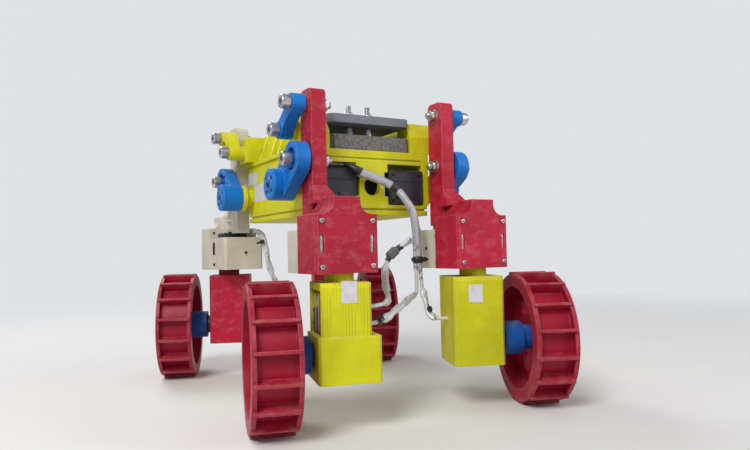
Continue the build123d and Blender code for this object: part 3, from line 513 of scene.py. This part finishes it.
_, line, run, corner = leads["rear_left_branch"]
spot, ahead = heading_at(line, run, 0.0215)
sideways = np.cross(ahead, (0.0, 0.0, 1.0))
sideways /= np.linalg.norm(sideways)
plug_shells = [cushion_block(*PLUG_BODY, spot - 0.005 * ahead, sideways, ahead)]
plug_shells += [cushion_block(*PLUG_RIB, spot - 0.004 * ahead + shift * sideways, sideways, ahead)
                for shift in (-0.0027, 0.0, 0.0027)]
plug = assembled("branch_plug", plug_shells, plug_finish)
boot_shells = [taped(line, run, start=0.0105, length=0.0065, radius=0.0027),
               taped(line, run, start=0.0262, length=0.0048, radius=0.0024)]
boot = assembled("branch_boot", boot_shells, tape_finish)
for piece in (plug, boot):
    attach(piece, corner + "_leg")
ties = {}
for name, share, facing in (
    ("rear_right_lead", 0.80, (-1.0, 0.3, 0.4)), ("front_left_lead", 0.30, (-0.6, 1.0, 0.2)),
    ("rear_left_lead", 0.90, (-1.0, 0.2, 0.6)),
):
    _, line, run, corner = leads[name]
    spot, ahead = heading_at(line, run, share * run[-1])
    tie = assembled(name + "_tie", nylon_tie(spot, ahead, 1.75, facing), nylon_finish)
    ties[name] = tie
# The branch's plug and boot sit above its bend and ride with the leg. Each lead, and its tie, has its place
# baked into its mesh.
for name, (lead, line, run, corner) in leads.items():
    bending = [lead, ties[name]] if name in ties else [lead]
    for piece in bending:
        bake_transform(piece)

# ---- yellow chassis ----
# Floor, side walls, end posts, deck beams, upper frames and link bosses are printed in lemon yellow
# plastic: fine layer lines on the upright faces, slightly whitened edges and a little sand dust.
def softened(nodes, radius):
    """The normal that the surface would have if its edges were rounded to a radius."""
    bevel = nodes.new("ShaderNodeBevel")
    bevel.samples = 4
    bevel.inputs["Radius"].default_value = radius
    return bevel.outputs["Normal"]


def dot(nodes, links, vector, other):
    """The dot product of a vector socket with another socket or with a tuple."""
    product = nodes.new("ShaderNodeVectorMath")
    product.operation = "DOT_PRODUCT"
    links.new(vector, product.inputs[0])
    if isinstance(other, tuple):
        product.inputs[1].default_value = other
    else:
        links.new(other, product.inputs[1])
    return product.outputs["Value"]


def height_of(nodes, links, vector):
    """The Z component of a vector socket."""
    split = nodes.new("ShaderNodeSeparateXYZ")
    links.new(vector, split.inputs[0])
    return split.outputs["Z"]


def printed(name, colour, worn, layers=(0.0, 0.0, 1.0), pitch=0.0011, ridge=0.25, scuffs=0.15, dust=0.15,
            rough=0.46, edge=0.0009):
    """Layered printed plastic. The colour varies softly. Edges, where the softened normal leaves the true
    one, and scuffs, found by stretched noise, turn to the worn colour. Sand dust lies where faces look up.
    The bump is ridge * sin(2 pi * distance along layers / pitch) with fine grain over it."""
    made, nodes, links, surface = shader(name, colour, rough, Specular_IOR_Level=0.3)
    where = own_place(nodes)
    broad = noise(nodes, links, where, 32.0, 4.0)
    grain = noise(nodes, links, where, 1500.0, 2.0)
    deep = tuple(0.84 * value for value in colour)
    pale = tuple(min(1.0, 1.10 * value) for value in colour)
    base = mixed(nodes, links, between(nodes, links, broad, 0.3, 0.7), deep, pale)

    soft = softened(nodes, edge)
    true = nodes.new("ShaderNodeNewGeometry").outputs["Normal"]
    rim = between(nodes, links, dot(nodes, links, soft, true), 0.995, 0.86)
    patchy = between(nodes, links, noise(nodes, links, where, 140.0, 3.0), 0.38, 0.62, 0.25, 0.95)
    rim = math_node(nodes, links, "MULTIPLY", rim, patchy)
    rubbed = noise(nodes, links, where, 75.0, 6.0, 0.72, (1.0, 1.0, 1.4))
    marks = between(nodes, links, rubbed, 0.50, 0.78, 0.0, scuffs)
    base = mixed(nodes, links, math_node(nodes, links, "MAXIMUM", rim, marks), base, worn)

    lying = between(nodes, links, height_of(nodes, links, true), 0.55, 0.95)
    drift = between(nodes, links, noise(nodes, links, where, 75.0, 5.0, 0.7), 0.42, 0.66, 0.0, dust)
    sanded = math_node(nodes, links, "MULTIPLY", lying, drift)
    links.new(mixed(nodes, links, sanded, base, (0.52, 0.44, 0.35)), surface.inputs["Base Color"])
    uneven = between(nodes, links, broad, 0.25, 0.75, rough + 0.10, rough - 0.05)
    links.new(uneven, surface.inputs["Roughness"])

    phase = math_node(nodes, links, "MULTIPLY", dot(nodes, links, where, layers), 2 * pi / pitch)
    wave = math_node(nodes, links, "SINE", phase)
    height = math_node(nodes, links, "MULTIPLY_ADD", wave, ridge, grain)
    bumped(nodes, links, surface, height, 0.00012, 0.55, soft)
    return made


def dress(finish, *node_names):
    """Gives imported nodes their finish."""
    for node_name in node_names:
        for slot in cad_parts[node_name].material_slots:
            slot.material = finish


lemon = printed("lemon_print", (0.64, 0.61, 0.004), (0.82, 0.79, 0.26))
dress(lemon, "base_plate", "side_wall_left", "side_wall_right", "end_post_rear", "end_post_front",
      "deck_beams", "upper_frame_left", "upper_frame_right", "link_bosses")

# ---- blank labels ----
# Two paper labels on the left side wall and one on each rear motor box, all blank, with slightly
# lifted corners. They are stuck on, so each rides with what it is stuck to.
paper, nodes, links, surface = shader("label_paper", rough=0.55)
grubby = between(nodes, links, noise(nodes, links, own_place(nodes), 190.0, 4.0), 0.5, 0.75, 0.0, 0.6)
links.new(mixed(nodes, links, grubby, (0.62, 0.60, 0.64), (0.42, 0.40, 0.40)), surface.inputs["Base Color"])


def label(name, centre, across, upward, width, height, body):
    """A paper sheet 0.09 mm thick. Over x and y from -1 to 1 its back stands off by
    0.05 mm + 0.35 mm * (x y)^4, so its corners lift. Each ring, at one x, goes up the front and down the
    back."""
    thick, stand_off, curl = 0.00009, 0.00005, 0.00035
    span = np.linspace(-1, 1, 13)
    x = span[:, None]
    y = np.concatenate((span, span[::-1]))[None]
    lift = stand_off + curl * (x * y) ** 4 + np.repeat((thick, 0.0), len(span))[None]
    across = np.array(across, float)
    upward = np.array(upward, float)
    rings = (np.array(centre) + (x * width / 2)[..., None] * across + (y * height / 2)[..., None] * upward
             + lift[..., None] * np.cross(across, upward))
    made = assembled(name, [closed_shell(rings)], paper, 40.0)
    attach(made, body)


# the left wall's outer face, in metres
WALL_FACE = 0.064
label("wall_label_upper", (0.0680, WALL_FACE, 0.22175), (-1, 0, 0), (0, 0, 1), 0.029, 0.0135, "chassis")
label("wall_label_lower", (0.0425, WALL_FACE, 0.2052), (-1, 0, 0), (0, 0, 1), 0.041, 0.0185, "chassis")
# how far a motor box's end face is from its steering axis, in millimetres
BOX_FACE = 27.0
# each box label's corner, how far it is outboard of the box's axis, its middle's height and its own height
for corner, outboard, height, tall in (("rear_left", -2.3, 109.0, 17.0), ("rear_right", -5.6, 101.5, 15.5)):
    end, side, steer = CORNERS[corner]
    outward = np.array((end * cos(steer), end * sin(steer), 0.0))
    across = np.array((-outward[1], outward[0], 0.0))
    centre = np.array((end * STEER_A, side * STEER_B, 0.0)) + BOX_FACE * outward
    centre += side * outboard * np.array((-sin(steer), cos(steer), 0.0)) + (0.0, 0.0, height)
    label(corner + "_box_label", centre / 1000, across, (0, 0, 1), 0.0125, tall / 1000, corner + "_motor")

# ---- lift servos ----
# Four black moulded smart servos lie on the chassis floor and turn the lift cranks. Each outward end
# face has a raised frame, a seam, four small screws and a socket for its lead.
def moulded(name, colour, pale, rough=0.42, edge=0.0007):
    """Moulded plastic with fine spark-eroded grain, edges paler where the softened normal turns from the true
    one, and a faint film of dust.
    """
    made, nodes, links, surface = shader(name, colour, rough)
    where = own_place(nodes)
    soft = softened(nodes, edge)
    true = nodes.new("ShaderNodeNewGeometry").outputs["Normal"]
    rim = between(nodes, links, dot(nodes, links, soft, true), 0.99, 0.85, 0.0, 0.6)
    film = between(nodes, links, noise(nodes, links, where, 85.0, 5.0, 0.7), 0.45, 0.72, 0.0, 0.30)
    links.new(mixed(nodes, links, math_node(nodes, links, "MAXIMUM", rim, film), colour, pale),
              surface.inputs["Base Color"])
    links.new(between(nodes, links, film, 0.0, 0.3, rough, rough + 0.2), surface.inputs["Roughness"])
    bumped(nodes, links, surface, noise(nodes, links, where, 3200.0, 2.0), 0.00006, 0.5, soft)
    return made


def metal(name, colour, dull, rough=0.28, streak=(1.0, 1.0, 6.0), fine=900.0):
    """Metal with drawn streaks, duller smudges and a fine scratched bump."""
    made, nodes, links, surface = shader(name, colour, rough, 1.0)
    where = own_place(nodes)
    smudge = between(nodes, links, noise(nodes, links, where, 230.0, 4.0), 0.42, 0.66)
    links.new(mixed(nodes, links, smudge, colour, dull), surface.inputs["Base Color"])
    links.new(between(nodes, links, smudge, 0.0, 1.0, rough, rough + 0.22), surface.inputs["Roughness"])
    bumped(nodes, links, surface, noise(nodes, links, where, fine, 3.0, 0.6, streak), 0.00005, 0.35)
    return made


servo_black = moulded("servo_black", (0.017, 0.019, 0.027), (0.085, 0.09, 0.12))
dress(servo_black, "lift_servos")
steel = metal("plated_steel", (0.66, 0.66, 0.67), (0.33, 0.32, 0.31))
dark_screw = metal("blackened_screw", (0.11, 0.11, 0.12), (0.05, 0.05, 0.05), 0.35)


def hexagon(turn):
    """Radius of a hexagon with its corners at 1, cos 30 / cos(v - 30) over each sixth of a turn."""
    return cos(pi / 6) / np.cos(np.mod(turn, pi / 3) - pi / 6)


def square_to(axis):
    """A direction to measure round an axis from: up, or forward where the axis itself is upright."""
    return (0.0, 0.0, 1.0) if abs(axis[2]) < 0.9 else (1.0, 0.0, 0.0)


def pan_screw(centre, axis, radius, socket=0.55):
    """A small domed screw head with a hexagonal socket. Its round rings climb the rim and the dome, and then
    six-sided rings go down into the socket, which reaches the share socket of the head's radius."""
    turn = np.linspace(0, 2 * pi, 25)[:-1]
    circle = np.stack((np.cos(turn), np.sin(turn)), -1)
    six = circle * hexagon(turn)[:, None]
    rings = [circle * radius * share for share in (0.92, 1.0, 1.0, 0.93, 0.78)]
    rings += [six * radius * socket * share for share in (1.06, 1.0, 0.98)]
    level = radius * np.array((0.0, 0.06, 0.30, 0.52, 0.66, 0.70, 0.66, 0.18))
    return closed_shell(stacked(rings, level, centre, square_to(axis), axis))


def raised_frame(width, height, wall, proud, origin, across, along):
    """A rectangular rim with round corners and chamfered edges: its rings, each set in from the outline, go
    up outside, over the top and down inside."""
    chamfer = 0.0003
    inset = (0.0, 0.0, chamfer, wall - chamfer, wall, wall)
    radii = (0.003, 0.003, 0.0027, 0.0019, 0.0016, 0.0016)
    shapes = [round_rect(width - 2 * cut, height - 2 * cut, radius) for cut, radius in zip(inset, radii)]
    level = (-chamfer, proud - chamfer, proud, proud, proud - chamfer, -chamfer)
    rings = stacked(shapes, level, origin, across, along)
    return closed_shell(np.concatenate((rings, rings[:1])), caps=False)


# the middle of a lift servo's outward end face: along the rover, across it and up, in metres
SERVO_FACE = (0.08515, 0.037, 0.20105)
# the rim's width, height and wall and how proud it stands, then the seam's and the socket's blocks
SERVO_RIM = (0.0352, 0.0312, 0.0011, 0.0005)
SEAM_BAR = (0.0340, 0.0010, 0.0006, 0.0003, 0.0002)
LEAD_SOCKET = (0.0105, 0.0052, 0.0011, 0.0008, 0.0003)
frames, screws = [], []
for end in (-1, 1):
    for side in (-1, 1):
        face = np.array(SERVO_FACE) * (end, side, 1)
        across, out = (0, 1, 0), (end, 0, 0)
        seam = face + (0, 0, 0.0062)
        socket = face + (0, -side * 0.006, -0.0085)
        frames.append(raised_frame(*SERVO_RIM, face, across, out))
        frames.append(cushion_block(*SEAM_BAR, seam, across, out))
        frames.append(cushion_block(*LEAD_SOCKET, socket, across, out))
        screws += [pan_screw(face + (end * 0.0001, shift_y, shift_z), out, 0.00165)
                   for shift_y in (-0.0142, 0.0142) for shift_z in (-0.0125, 0.0125)]
servo_frames = assembled("lift_servo_faces", frames, servo_black)
servo_screws = assembled("lift_servo_screws", screws, dark_screw)
for piece in (servo_frames, servo_screws):
    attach(piece, "chassis")

# ---- deck blocks, clamp plates and studs ----
# A mottled grey sintered block lies on each end of the deck under a thin bluish clamp plate. Two
# shouldered studs with spacer sleeves pass through both and stand up through domed flange nuts.
def mottled(name, colour, speckle, spots, rough=0.62):
    """Dull grey metal with coarse pale and dark specks, as sand-cast or sintered stock shows."""
    made, nodes, links, surface = shader(name, colour, rough, 0.15)
    where = own_place(nodes)
    coarse = between(nodes, links, noise(nodes, links, where, 420.0, 5.0, 0.75), 0.36, 0.64)
    base = mixed(nodes, links, coarse, tuple(0.55 * value for value in colour), speckle)
    cells = nodes.new("ShaderNodeTexVoronoi")
    cells.inputs["Scale"].default_value = 520.0
    links.new(where, cells.inputs["Vector"])
    spot = between(nodes, links, cells.outputs["Distance"], 0.10, 0.28, spots, 0.0)
    links.new(mixed(nodes, links, spot, base, (0.62, 0.61, 0.58)), surface.inputs["Base Color"])
    bumped(nodes, links, surface, coarse, 0.00025, 0.6, softened(nodes, 0.0010))
    return made


dress(mottled("sintered_grey", (0.135, 0.130, 0.120), (0.22, 0.215, 0.20), 0.35), "grey_blocks")
dress(moulded("clamp_slate", (0.155, 0.17, 0.195), (0.28, 0.30, 0.33), 0.5, 0.0009), "clamp_plates")


def turned(profile, origin, axis, sides=32, shape=None):
    """A turned piece: ring i has radius profile[i][1] at profile[i][0] along the axis, in millimetres, and
    shape, if given, scales each ring's radius as an array (rings, sides)."""
    turn = np.linspace(0, 2 * pi, sides + 1)[:-1]
    profile = np.array(profile) / 1000
    radius = np.repeat(profile[:, 1:], sides, 1) * (1.0 if shape is None else shape)
    outlines = radius[..., None] * np.stack((np.cos(turn), np.sin(turn)), -1)
    return closed_shell(stacked(outlines, profile[:, 0], np.array(origin) / 1000, square_to(axis), axis))


def thread(start, end, radius, pitch, origin, axis):
    """A threaded rod: its radius is radius - 0.30 mm * (1 - |saw|), where saw runs once a pitch along it and
    once round it, so the crests climb as a helix. Both ends taper in."""
    along = np.linspace(start, end, int((end - start) / pitch * 7) + 2)
    turn = np.linspace(0, 2 * pi, 25)[:-1]
    saw = np.abs(np.mod(along[:, None] / pitch - turn[None] / (2 * pi), 1.0) - 0.5) * 2
    taper = np.clip(np.minimum(along - start, end - along) / 0.5, 0.0, 1.0)[:, None]
    shape = (radius - 0.30 * (1 - saw) - 0.35 * (1 - taper)) / radius
    return turned(np.stack((along, np.full(len(along), radius)), -1), origin, axis, 24, shape)


def nut(start, height, corner, origin, axis):
    """A hexagon nut: at each level its radius is the smaller of the hexagon's and a cone's that trims the
    corners by 0.75 mm at both faces."""
    turn = np.linspace(0, 2 * pi, 49)[:-1]
    six = corner * hexagon(turn)
    level = np.array((0.0, 0.35, 0.8, height - 0.8, height - 0.35, height))
    cone = corner - np.array((0.75, 0.35, 0.0, 0.0, 0.35, 0.75))
    shape = np.minimum(six[None], cone[:, None])
    return turned(np.stack((start + level, np.ones(6)), -1), origin, axis, 48, shape)


# a stud's place along the rover and across it, in millimetres
STUD_A, STUD_B = 57.65, 10.5
# heights above the ground and radii: the plain shank, the spacer sleeve and the nut with its flange
SHANK = ((235.3, 2.9), (268.0, 2.9))
SPACER = ((249.1, 4.6), (249.5, 5.0), (259.6, 5.0), (260.0, 4.6))
FLANGE_NUT = ((268.05, 5.3), (268.2, 5.6), (268.9, 5.6), (269.2, 5.2), (271.0, 5.1), (273.2, 4.9),
              (274.5, 4.3), (275.4, 3.5), (275.8, 2.9))
upward = (0, 0, 1)
stud_shells = []
for end in (-1, 1):
    for side in (-1, 1):
        foot = (end * STUD_A, side * STUD_B, 0.0)
        stud_shells += [turned(profile, foot, upward) for profile in (SHANK, SPACER, FLANGE_NUT)]
        stud_shells.append(thread(268.0, 282.0, 2.6, 0.8, foot, upward))
studs = assembled("clamp_stud_set", stud_shells, steel)
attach(studs, "chassis")
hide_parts("clamp_studs")

# ---- upper frame fittings ----
# On each upper frame a grey nut sits over a wide washer between the ribs, where the frame is bolted
# to the deck beam's end.
frame_nuts = []
for end in (-1, 1):
    for side in (-1, 1):
        spot, out = (end * 50.0, side * 56.0, 250.0), (0, side, 0)
        frame_nuts.append(turned([(0.0, 5.0), (0.15, 5.3), (0.75, 5.3), (0.95, 5.0)], spot, out))
        frame_nuts.append(nut(0.9, 2.9, 3.9, spot, out))
        frame_nuts.append(thread(0.5, 4.9, 2.0, 0.7, spot, out))
frame_nuts = assembled("upper_frame_nuts", frame_nuts, steel)
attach(frame_nuts, "chassis")

# ---- lift cranks and upper links ----
# Printed in bright blue, all but the front left upper link, which is yellow. Each crank's round hub is
# keyed to the servo horn by a splined disc with four small screws and one in the middle.
blue = printed("blue_print", (0.002, 0.165, 0.56), (0.16, 0.42, 0.78), pitch=0.0010, ridge=0.2, scuffs=0.10,
               dust=0.08, rough=0.40)
dress(blue, *(corner + "_lift_crank" for corner in CORNERS))
dress(blue, *(corner + "_upper_link" for corner in CORNERS if corner != "front_left"))
dress(lemon, "front_left_upper_link")


def at_corner(points, corner):
    """Points given outward along the rover, outward across it and up, in millimetres, put in its frame."""
    end, side, _ = CORNERS[corner]
    return np.asarray(points, float) * (end, side, 1.0)


# the chassis pivots' distance along the rover, the crank pivots' and the link pivots' heights, and the
# horn discs' faces across the rover
PIVOT_A, CRANK_HEIGHT, LINK_HEIGHT, HORN_FACE = 73.15, 201.05, 250.05, 98.8
# the horn disc's outer ring, whose fourth and fifth rings are splined, and its raised middle
SPLINED_RING = ((-0.2, 12.2), (0.35, 12.2), (0.65, 11.8), (0.65, 10.6), (0.25, 10.4), (0.25, 5.8))
DISC_MIDDLE = ((0.0, 6.2), (0.9, 6.2), (1.25, 5.8), (1.25, 3.6), (0.5, 3.4))
turn = np.linspace(0, 2 * pi, 121)[:-1]
splines = np.ones((len(SPLINED_RING), len(turn)))
splines[3:5] = np.where(np.cos(20 * turn) > 0, 1.0, 0.93)
for corner, (_, side, _) in CORNERS.items():
    hub, out = at_corner((PIVOT_A, HORN_FACE, CRANK_HEIGHT), corner), (0, side, 0)
    disc = [turned(SPLINED_RING, hub, out, len(turn), splines), turned(DISC_MIDDLE, hub, out)]
    horn = assembled(corner + "_horn_disc", disc, blue)
    small = [pan_screw((hub + (8.2 * cos(spin), side * 0.2, 8.2 * sin(spin))) / 1000, out, 0.00135)
             for spin in (pi / 4, 3 * pi / 4, 5 * pi / 4, 7 * pi / 4)]
    small.append(pan_screw((hub + (0.0, side * 0.5, 0.0)) / 1000, out, 0.0026))
    small = assembled(corner + "_horn_screws", small, dark_screw)
    for piece in (horn, small):
        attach(piece, corner + "_crank")

# ---- pivot bolts and frame screws ----
# Plated M6 cap screws with knurled heads and hexagon sockets: two through each upright, with a washer
# and nut inboard, and one short one through each upper link into its boss.
def cap_head(level, origin, axis):
    """A cap screw's head from a level: the side is radius * (1 + 0.013 cos 40 v) between two chamfers, and
    the socket goes down as six-sided rings with a conical bottom."""
    turn = np.linspace(0, 2 * pi, 121)[:-1]
    profile = [(0.0, 5.7), (0.35, 6.15), (0.9, 6.15), (6.9, 6.15), (7.7, 6.05), (8.6, 5.2), (8.7, 4.2),
               (8.7, 3.3), (8.45, 3.05), (5.2, 3.0), (4.8, 2.7), (4.1, 0.6)]
    side_rings, socket_rings = slice(2, 4), slice(7, 11)
    shape = np.ones((len(profile), len(turn)))
    shape[side_rings] = 1 + 0.013 * np.cos(40 * turn)
    shape[socket_rings] = hexagon(turn)
    profile = [(level + along, radius) for along, radius in profile]
    return turned(profile, origin, axis, len(turn), shape)


# the upright pivots' distance along the rover and heights, and how far across it the bolt heads seat
UPRIGHT_A, BOLT_HEIGHTS, HEAD_SEAT = 101.0, (220.55, 269.55), 90.1
for corner, (_, side, _) in CORNERS.items():
    out = (0, side, 0)
    shells = []
    for height in BOLT_HEIGHTS:
        axle = at_corner((UPRIGHT_A, 0.0, height), corner)
        shells += [cap_head(HEAD_SEAT, axle, out), turned([(59.0, 2.95), (90.5, 2.95)], axle, out),
                   thread(51.5, 60.5, 3.0, 1.0, axle, out), nut(55.2, 5.0, 5.75, axle, out),
                   turned([(60.1, 5.9), (60.25, 6.1), (60.85, 6.1), (61.0, 5.9)], axle, out)]
    bolts = assembled(corner + "_bolt_set", shells, steel, 30.0)
    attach(bolts, corner + "_leg")
    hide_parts(corner + "_pivot_bolts")
link_screws = []
for corner, (_, side, _) in CORNERS.items():
    axle, out = at_corner((PIVOT_A, 0.0, LINK_HEIGHT), corner), (0, side, 0)
    link_screws.append(cap_head(HEAD_SEAT, axle, out))
    link_screws.append(turned([(48.0, 2.4), (49.0, 2.95), (90.5, 2.95)], axle, out))
link_screws = assembled("frame_screw_set", link_screws, steel, 30.0)
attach(link_screws, "chassis")
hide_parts("frame_screws")

# ---- uprights and housings ----
# Each upright, with its flared foot and the outer half of the servo housing, is one printing: crimson
# at three corners and off-white at the front left. The inner halves are off-white. The faces are
# scuffed pale, and the left rear one shows its layers as fine level lines.
crimson = printed("crimson_print", (0.45, 0.005, 0.031), (0.66, 0.24, 0.27), scuffs=0.36, dust=0.16,
                  rough=0.42)
dusty_crimson = printed("dusty_crimson_print", (0.40, 0.009, 0.032), (0.58, 0.24, 0.26), pitch=0.0017,
                        ridge=0.9, scuffs=0.40, dust=0.28, rough=0.50)
off_white = printed("off_white_print", (0.60, 0.555, 0.455), (0.74, 0.71, 0.62), pitch=0.0012, ridge=0.35,
                    scuffs=0.15, dust=0.10, rough=0.50)
dress(dusty_crimson, "rear_left_upright")
dress(crimson, "rear_right_upright", "front_right_upright")
dress(off_white, "front_left_upright", *(corner + "_housing_half" for corner in CORNERS))
slot_metal = metal("slot_strip", (0.60, 0.58, 0.56), (0.38, 0.36, 0.34), 0.4)
# the housing's end face along the rover, and its two screw columns and its inboard face across it
HOUSING_FACE, COLUMNS, HOUSING_INBOARD = 161.9, (45.5, 90.5), 46.0
SLOT_STRIP = (0.0027, 0.0142, 0.0020, 0.0013, 0.0003)
for corner, (end, side, _) in CORNERS.items():
    strips, heads = [], []
    for column in COLUMNS:
        middle = at_corner((HOUSING_FACE - 3.0, column, 146.55), corner) / 1000
        strips.append(cushion_block(*SLOT_STRIP, middle, (0, 1, 0), (end, 0, 0)))
        heads += [pan_screw(at_corner((HOUSING_FACE, column, height), corner) / 1000, (end, 0, 0), 0.0021)
                  for height in (128.55, 164.55)]
    strips = assembled(corner + "_housing_strips", strips, slot_metal)
    heads = assembled(corner + "_housing_screws", heads, steel)
    pegs = [pan_screw(at_corner((along, HOUSING_INBOARD, height), corner) / 1000, (0, -side, 0), 0.0014)
            for along, height in ((104.0, 141.5), (120.0, 128.0), (120.0, 153.0))]
    pegs.append(pan_screw(at_corner((89.0, 66.0, 141.7), corner) / 1000, (-end, 0, 0), 0.0016))
    pegs = assembled(corner + "_inner_half_screws", pegs, dark_screw)
    for piece in (strips, heads, pegs):
        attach(piece, corner + "_leg")

# ---- steering servos ----
# Black moulded servos stand a little proud of the inner housing halves. Their lids show a raised
# panel, four screws at the corners and a pair of lead sockets towards the chassis.
dress(servo_black, *(corner + "_steer_servo" for corner in CORNERS))
LID_PANEL = (0.0165, 0.0290, 0.0006, 0.0016, 0.00025)
LID_SOCKET = (0.0050, 0.0075, 0.0016, 0.0006, 0.0003)
forward = (1, 0, 0)
for corner, (end, _, _) in CORNERS.items():
    lid = at_corner((117.5, STEER_B, 163.55), corner) / 1000
    panels = [cushion_block(*LID_PANEL, lid, forward, upward)]
    panels += [cushion_block(*LID_SOCKET, lid + (-end * 0.0045, shift, 0.0004), forward, upward)
               for shift in (-0.0070, 0.0070)]
    panels = assembled(corner + "_steer_servo_lid", panels, servo_black)
    heads = [pan_screw(at_corner((along, beside, 163.6), corner) / 1000, upward, 0.0015)
             for along in (111.2, 124.0) for beside in (53.5, 82.5)]
    heads = assembled(corner + "_steer_servo_screws", heads, dark_screw)
    for piece in (panels, heads):
        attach(piece, corner + "_leg")

# ---- motor boxes and drive servos ----
# Boxes with a turning collar on top: lemon yellow at the rear, the left one stepped and with upright
# layer lines because it was printed on its side, and crimson at the front. The black drive servo
# shows in the window on the wheel's side, with two pale printed strips left blank.
def level_direction(corner, across):
    """A unit vector of a parked motor box: its leftward one if across is set, or else its forward one."""
    steer = CORNERS[corner][2]
    return (-sin(steer), cos(steer), 0.0) if across else (cos(steer), sin(steer), 0.0)


def ridged_box(name, corner):
    """Printed box whose upper block, over 75 mm, has furrows painted dark as shade. The shade lies where the
    cosine of
    2 pi * distance across the box / 2.4 mm is over 0.55, so it stays narrow, and noise breaks it up."""
    pitch = 0.0024
    across = level_direction(corner, True)
    made = printed(name, (0.60, 0.57, 0.004), (0.80, 0.77, 0.26), across, pitch, 0.8, 0.10, 0.2, 0.48)
    nodes, links = made.node_tree.nodes, made.node_tree.links
    surface = nodes["Principled BSDF"]
    base = surface.inputs["Base Color"].links[0].from_socket
    where = own_place(nodes)
    phase = math_node(nodes, links, "MULTIPLY", dot(nodes, links, where, across), 2 * pi / pitch)
    painted_furrow_shade = between(nodes, links, math_node(nodes, links, "COSINE", phase), 0.55, 1.0)
    streak = noise(nodes, links, where, 160.0, 3.0, 0.6, (1.0, 1.0, 0.15))
    broken = between(nodes, links, streak, 0.42, 0.62, 0.0, 0.62)
    upper = between(nodes, links, height_of(nodes, links, where), 0.0748, 0.0752)
    share = math_node(nodes, links, "MULTIPLY", math_node(nodes, links, "MULTIPLY", painted_furrow_shade, broken), upper)
    # painted shade: the furrows darken to a deep olive
    links.new(mixed(nodes, links, share, base, (0.24, 0.21, 0.005)), surface.inputs["Base Color"])
    return made


box_finishes = {
    "rear_left": ridged_box("lemon_box_ridged", "rear_left"),
    "rear_right": printed("lemon_box_plain", (0.56, 0.53, 0.004), (0.78, 0.76, 0.30), ridge=0.15),
    "front_left": crimson, "front_right": crimson,
}
strip_finish = speckled("servo_strip", 0.5, 400.0, (0.30, 0.28, 0.38), (0.42, 0.40, 0.46))
# how far the drive servo's wheel-side face is from the steering axis, and how high its middle is
DRIVE_FACE, DRIVE_HEIGHT = 18.05, 92.0
FACE_STRIP = (0.0050, 0.0300, 0.0003, 0.0008, 0.0001)
for corner, (end, side, _) in CORNERS.items():
    dress(box_finishes[corner], corner + "_motor_box")
    dress(servo_black, corner + "_drive_servo")
    outward = np.array(level_direction(corner, False)) * end
    beside = np.array(level_direction(corner, True)) * side
    face = at_corner((STEER_A, STEER_B, DRIVE_HEIGHT), corner) + DRIVE_FACE * beside
    strips = [cushion_block(*FACE_STRIP, (face + shift * outward) / 1000, outward, beside)
              for shift in (-8.0, 6.0)]
    strips = assembled(corner + "_servo_strips", strips, strip_finish)
    heads = [pan_screw((face + shift * outward + (0, 0, rise)) / 1000, beside, 0.0014)
             for shift in (-15.0, 15.0) for rise in (-9.0, 1.5)]
    heads = assembled(corner + "_drive_servo_screws", heads, dark_screw)
    for piece in (strips, heads):
        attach(piece, corner + "_motor")

# ---- hubs and wheels ----
# Blue couplings join the drive servos' shafts to the wheels' webs. The wheels are printed in a deep
# crimson, and sand has rubbed the paddles' tips and the rims pale and lies on faces that look up.
AXLE_HEIGHT = 58.8
hub_blue = printed("hub_blue", (0.008, 0.085, 0.36), (0.20, 0.33, 0.55), (0.0, 1.0, 0.0), scuffs=0.2,
                   dust=0.3)


def wheel_finish(name, corner):
    """Printed wheel: over the printed finish's edges and scuffs, sand dust deepens with distance from the
    axle, r = sqrt(u^2 + z^2), where u is measured in the wheel's own plane, and fades as noise falls."""
    made = printed(name, (0.33, 0.002, 0.024), (0.58, 0.10, 0.15), level_direction(corner, True), 0.0010,
                   0.35, 0.10, 0.10, 0.40, 0.0011)
    nodes, links = made.node_tree.nodes, made.node_tree.links
    surface = nodes["Principled BSDF"]
    base = surface.inputs["Base Color"].links[0].from_socket
    where = own_place(nodes)
    shift = nodes.new("ShaderNodeVectorMath")
    shift.operation = "SUBTRACT"
    links.new(where, shift.inputs[0])
    shift.inputs[1].default_value = at_corner((STEER_A, STEER_B, AXLE_HEIGHT), corner) / 1000
    from_axle = shift.outputs["Vector"]
    run = dot(nodes, links, from_axle, level_direction(corner, False))
    rise = height_of(nodes, links, from_axle)
    squares = math_node(nodes, links, "ADD", math_node(nodes, links, "MULTIPLY", run, run),
                        math_node(nodes, links, "MULTIPLY", rise, rise))
    outer = between(nodes, links, math_node(nodes, links, "SQRT", squares), 0.052, 0.0598, 0.0, 1.0)
    patch = between(nodes, links, noise(nodes, links, where, 95.0, 5.0, 0.7), 0.42, 0.66, 0.04, 0.34)
    dusty = math_node(nodes, links, "MULTIPLY", outer, patch)
    links.new(mixed(nodes, links, dusty, base, (0.48, 0.20, 0.18)), surface.inputs["Base Color"])
    return made


for corner in CORNERS:
    dress(hub_blue, corner + "_hub")
    dress(wheel_finish(corner + "_wheel_crimson", corner), corner + "_wheel")
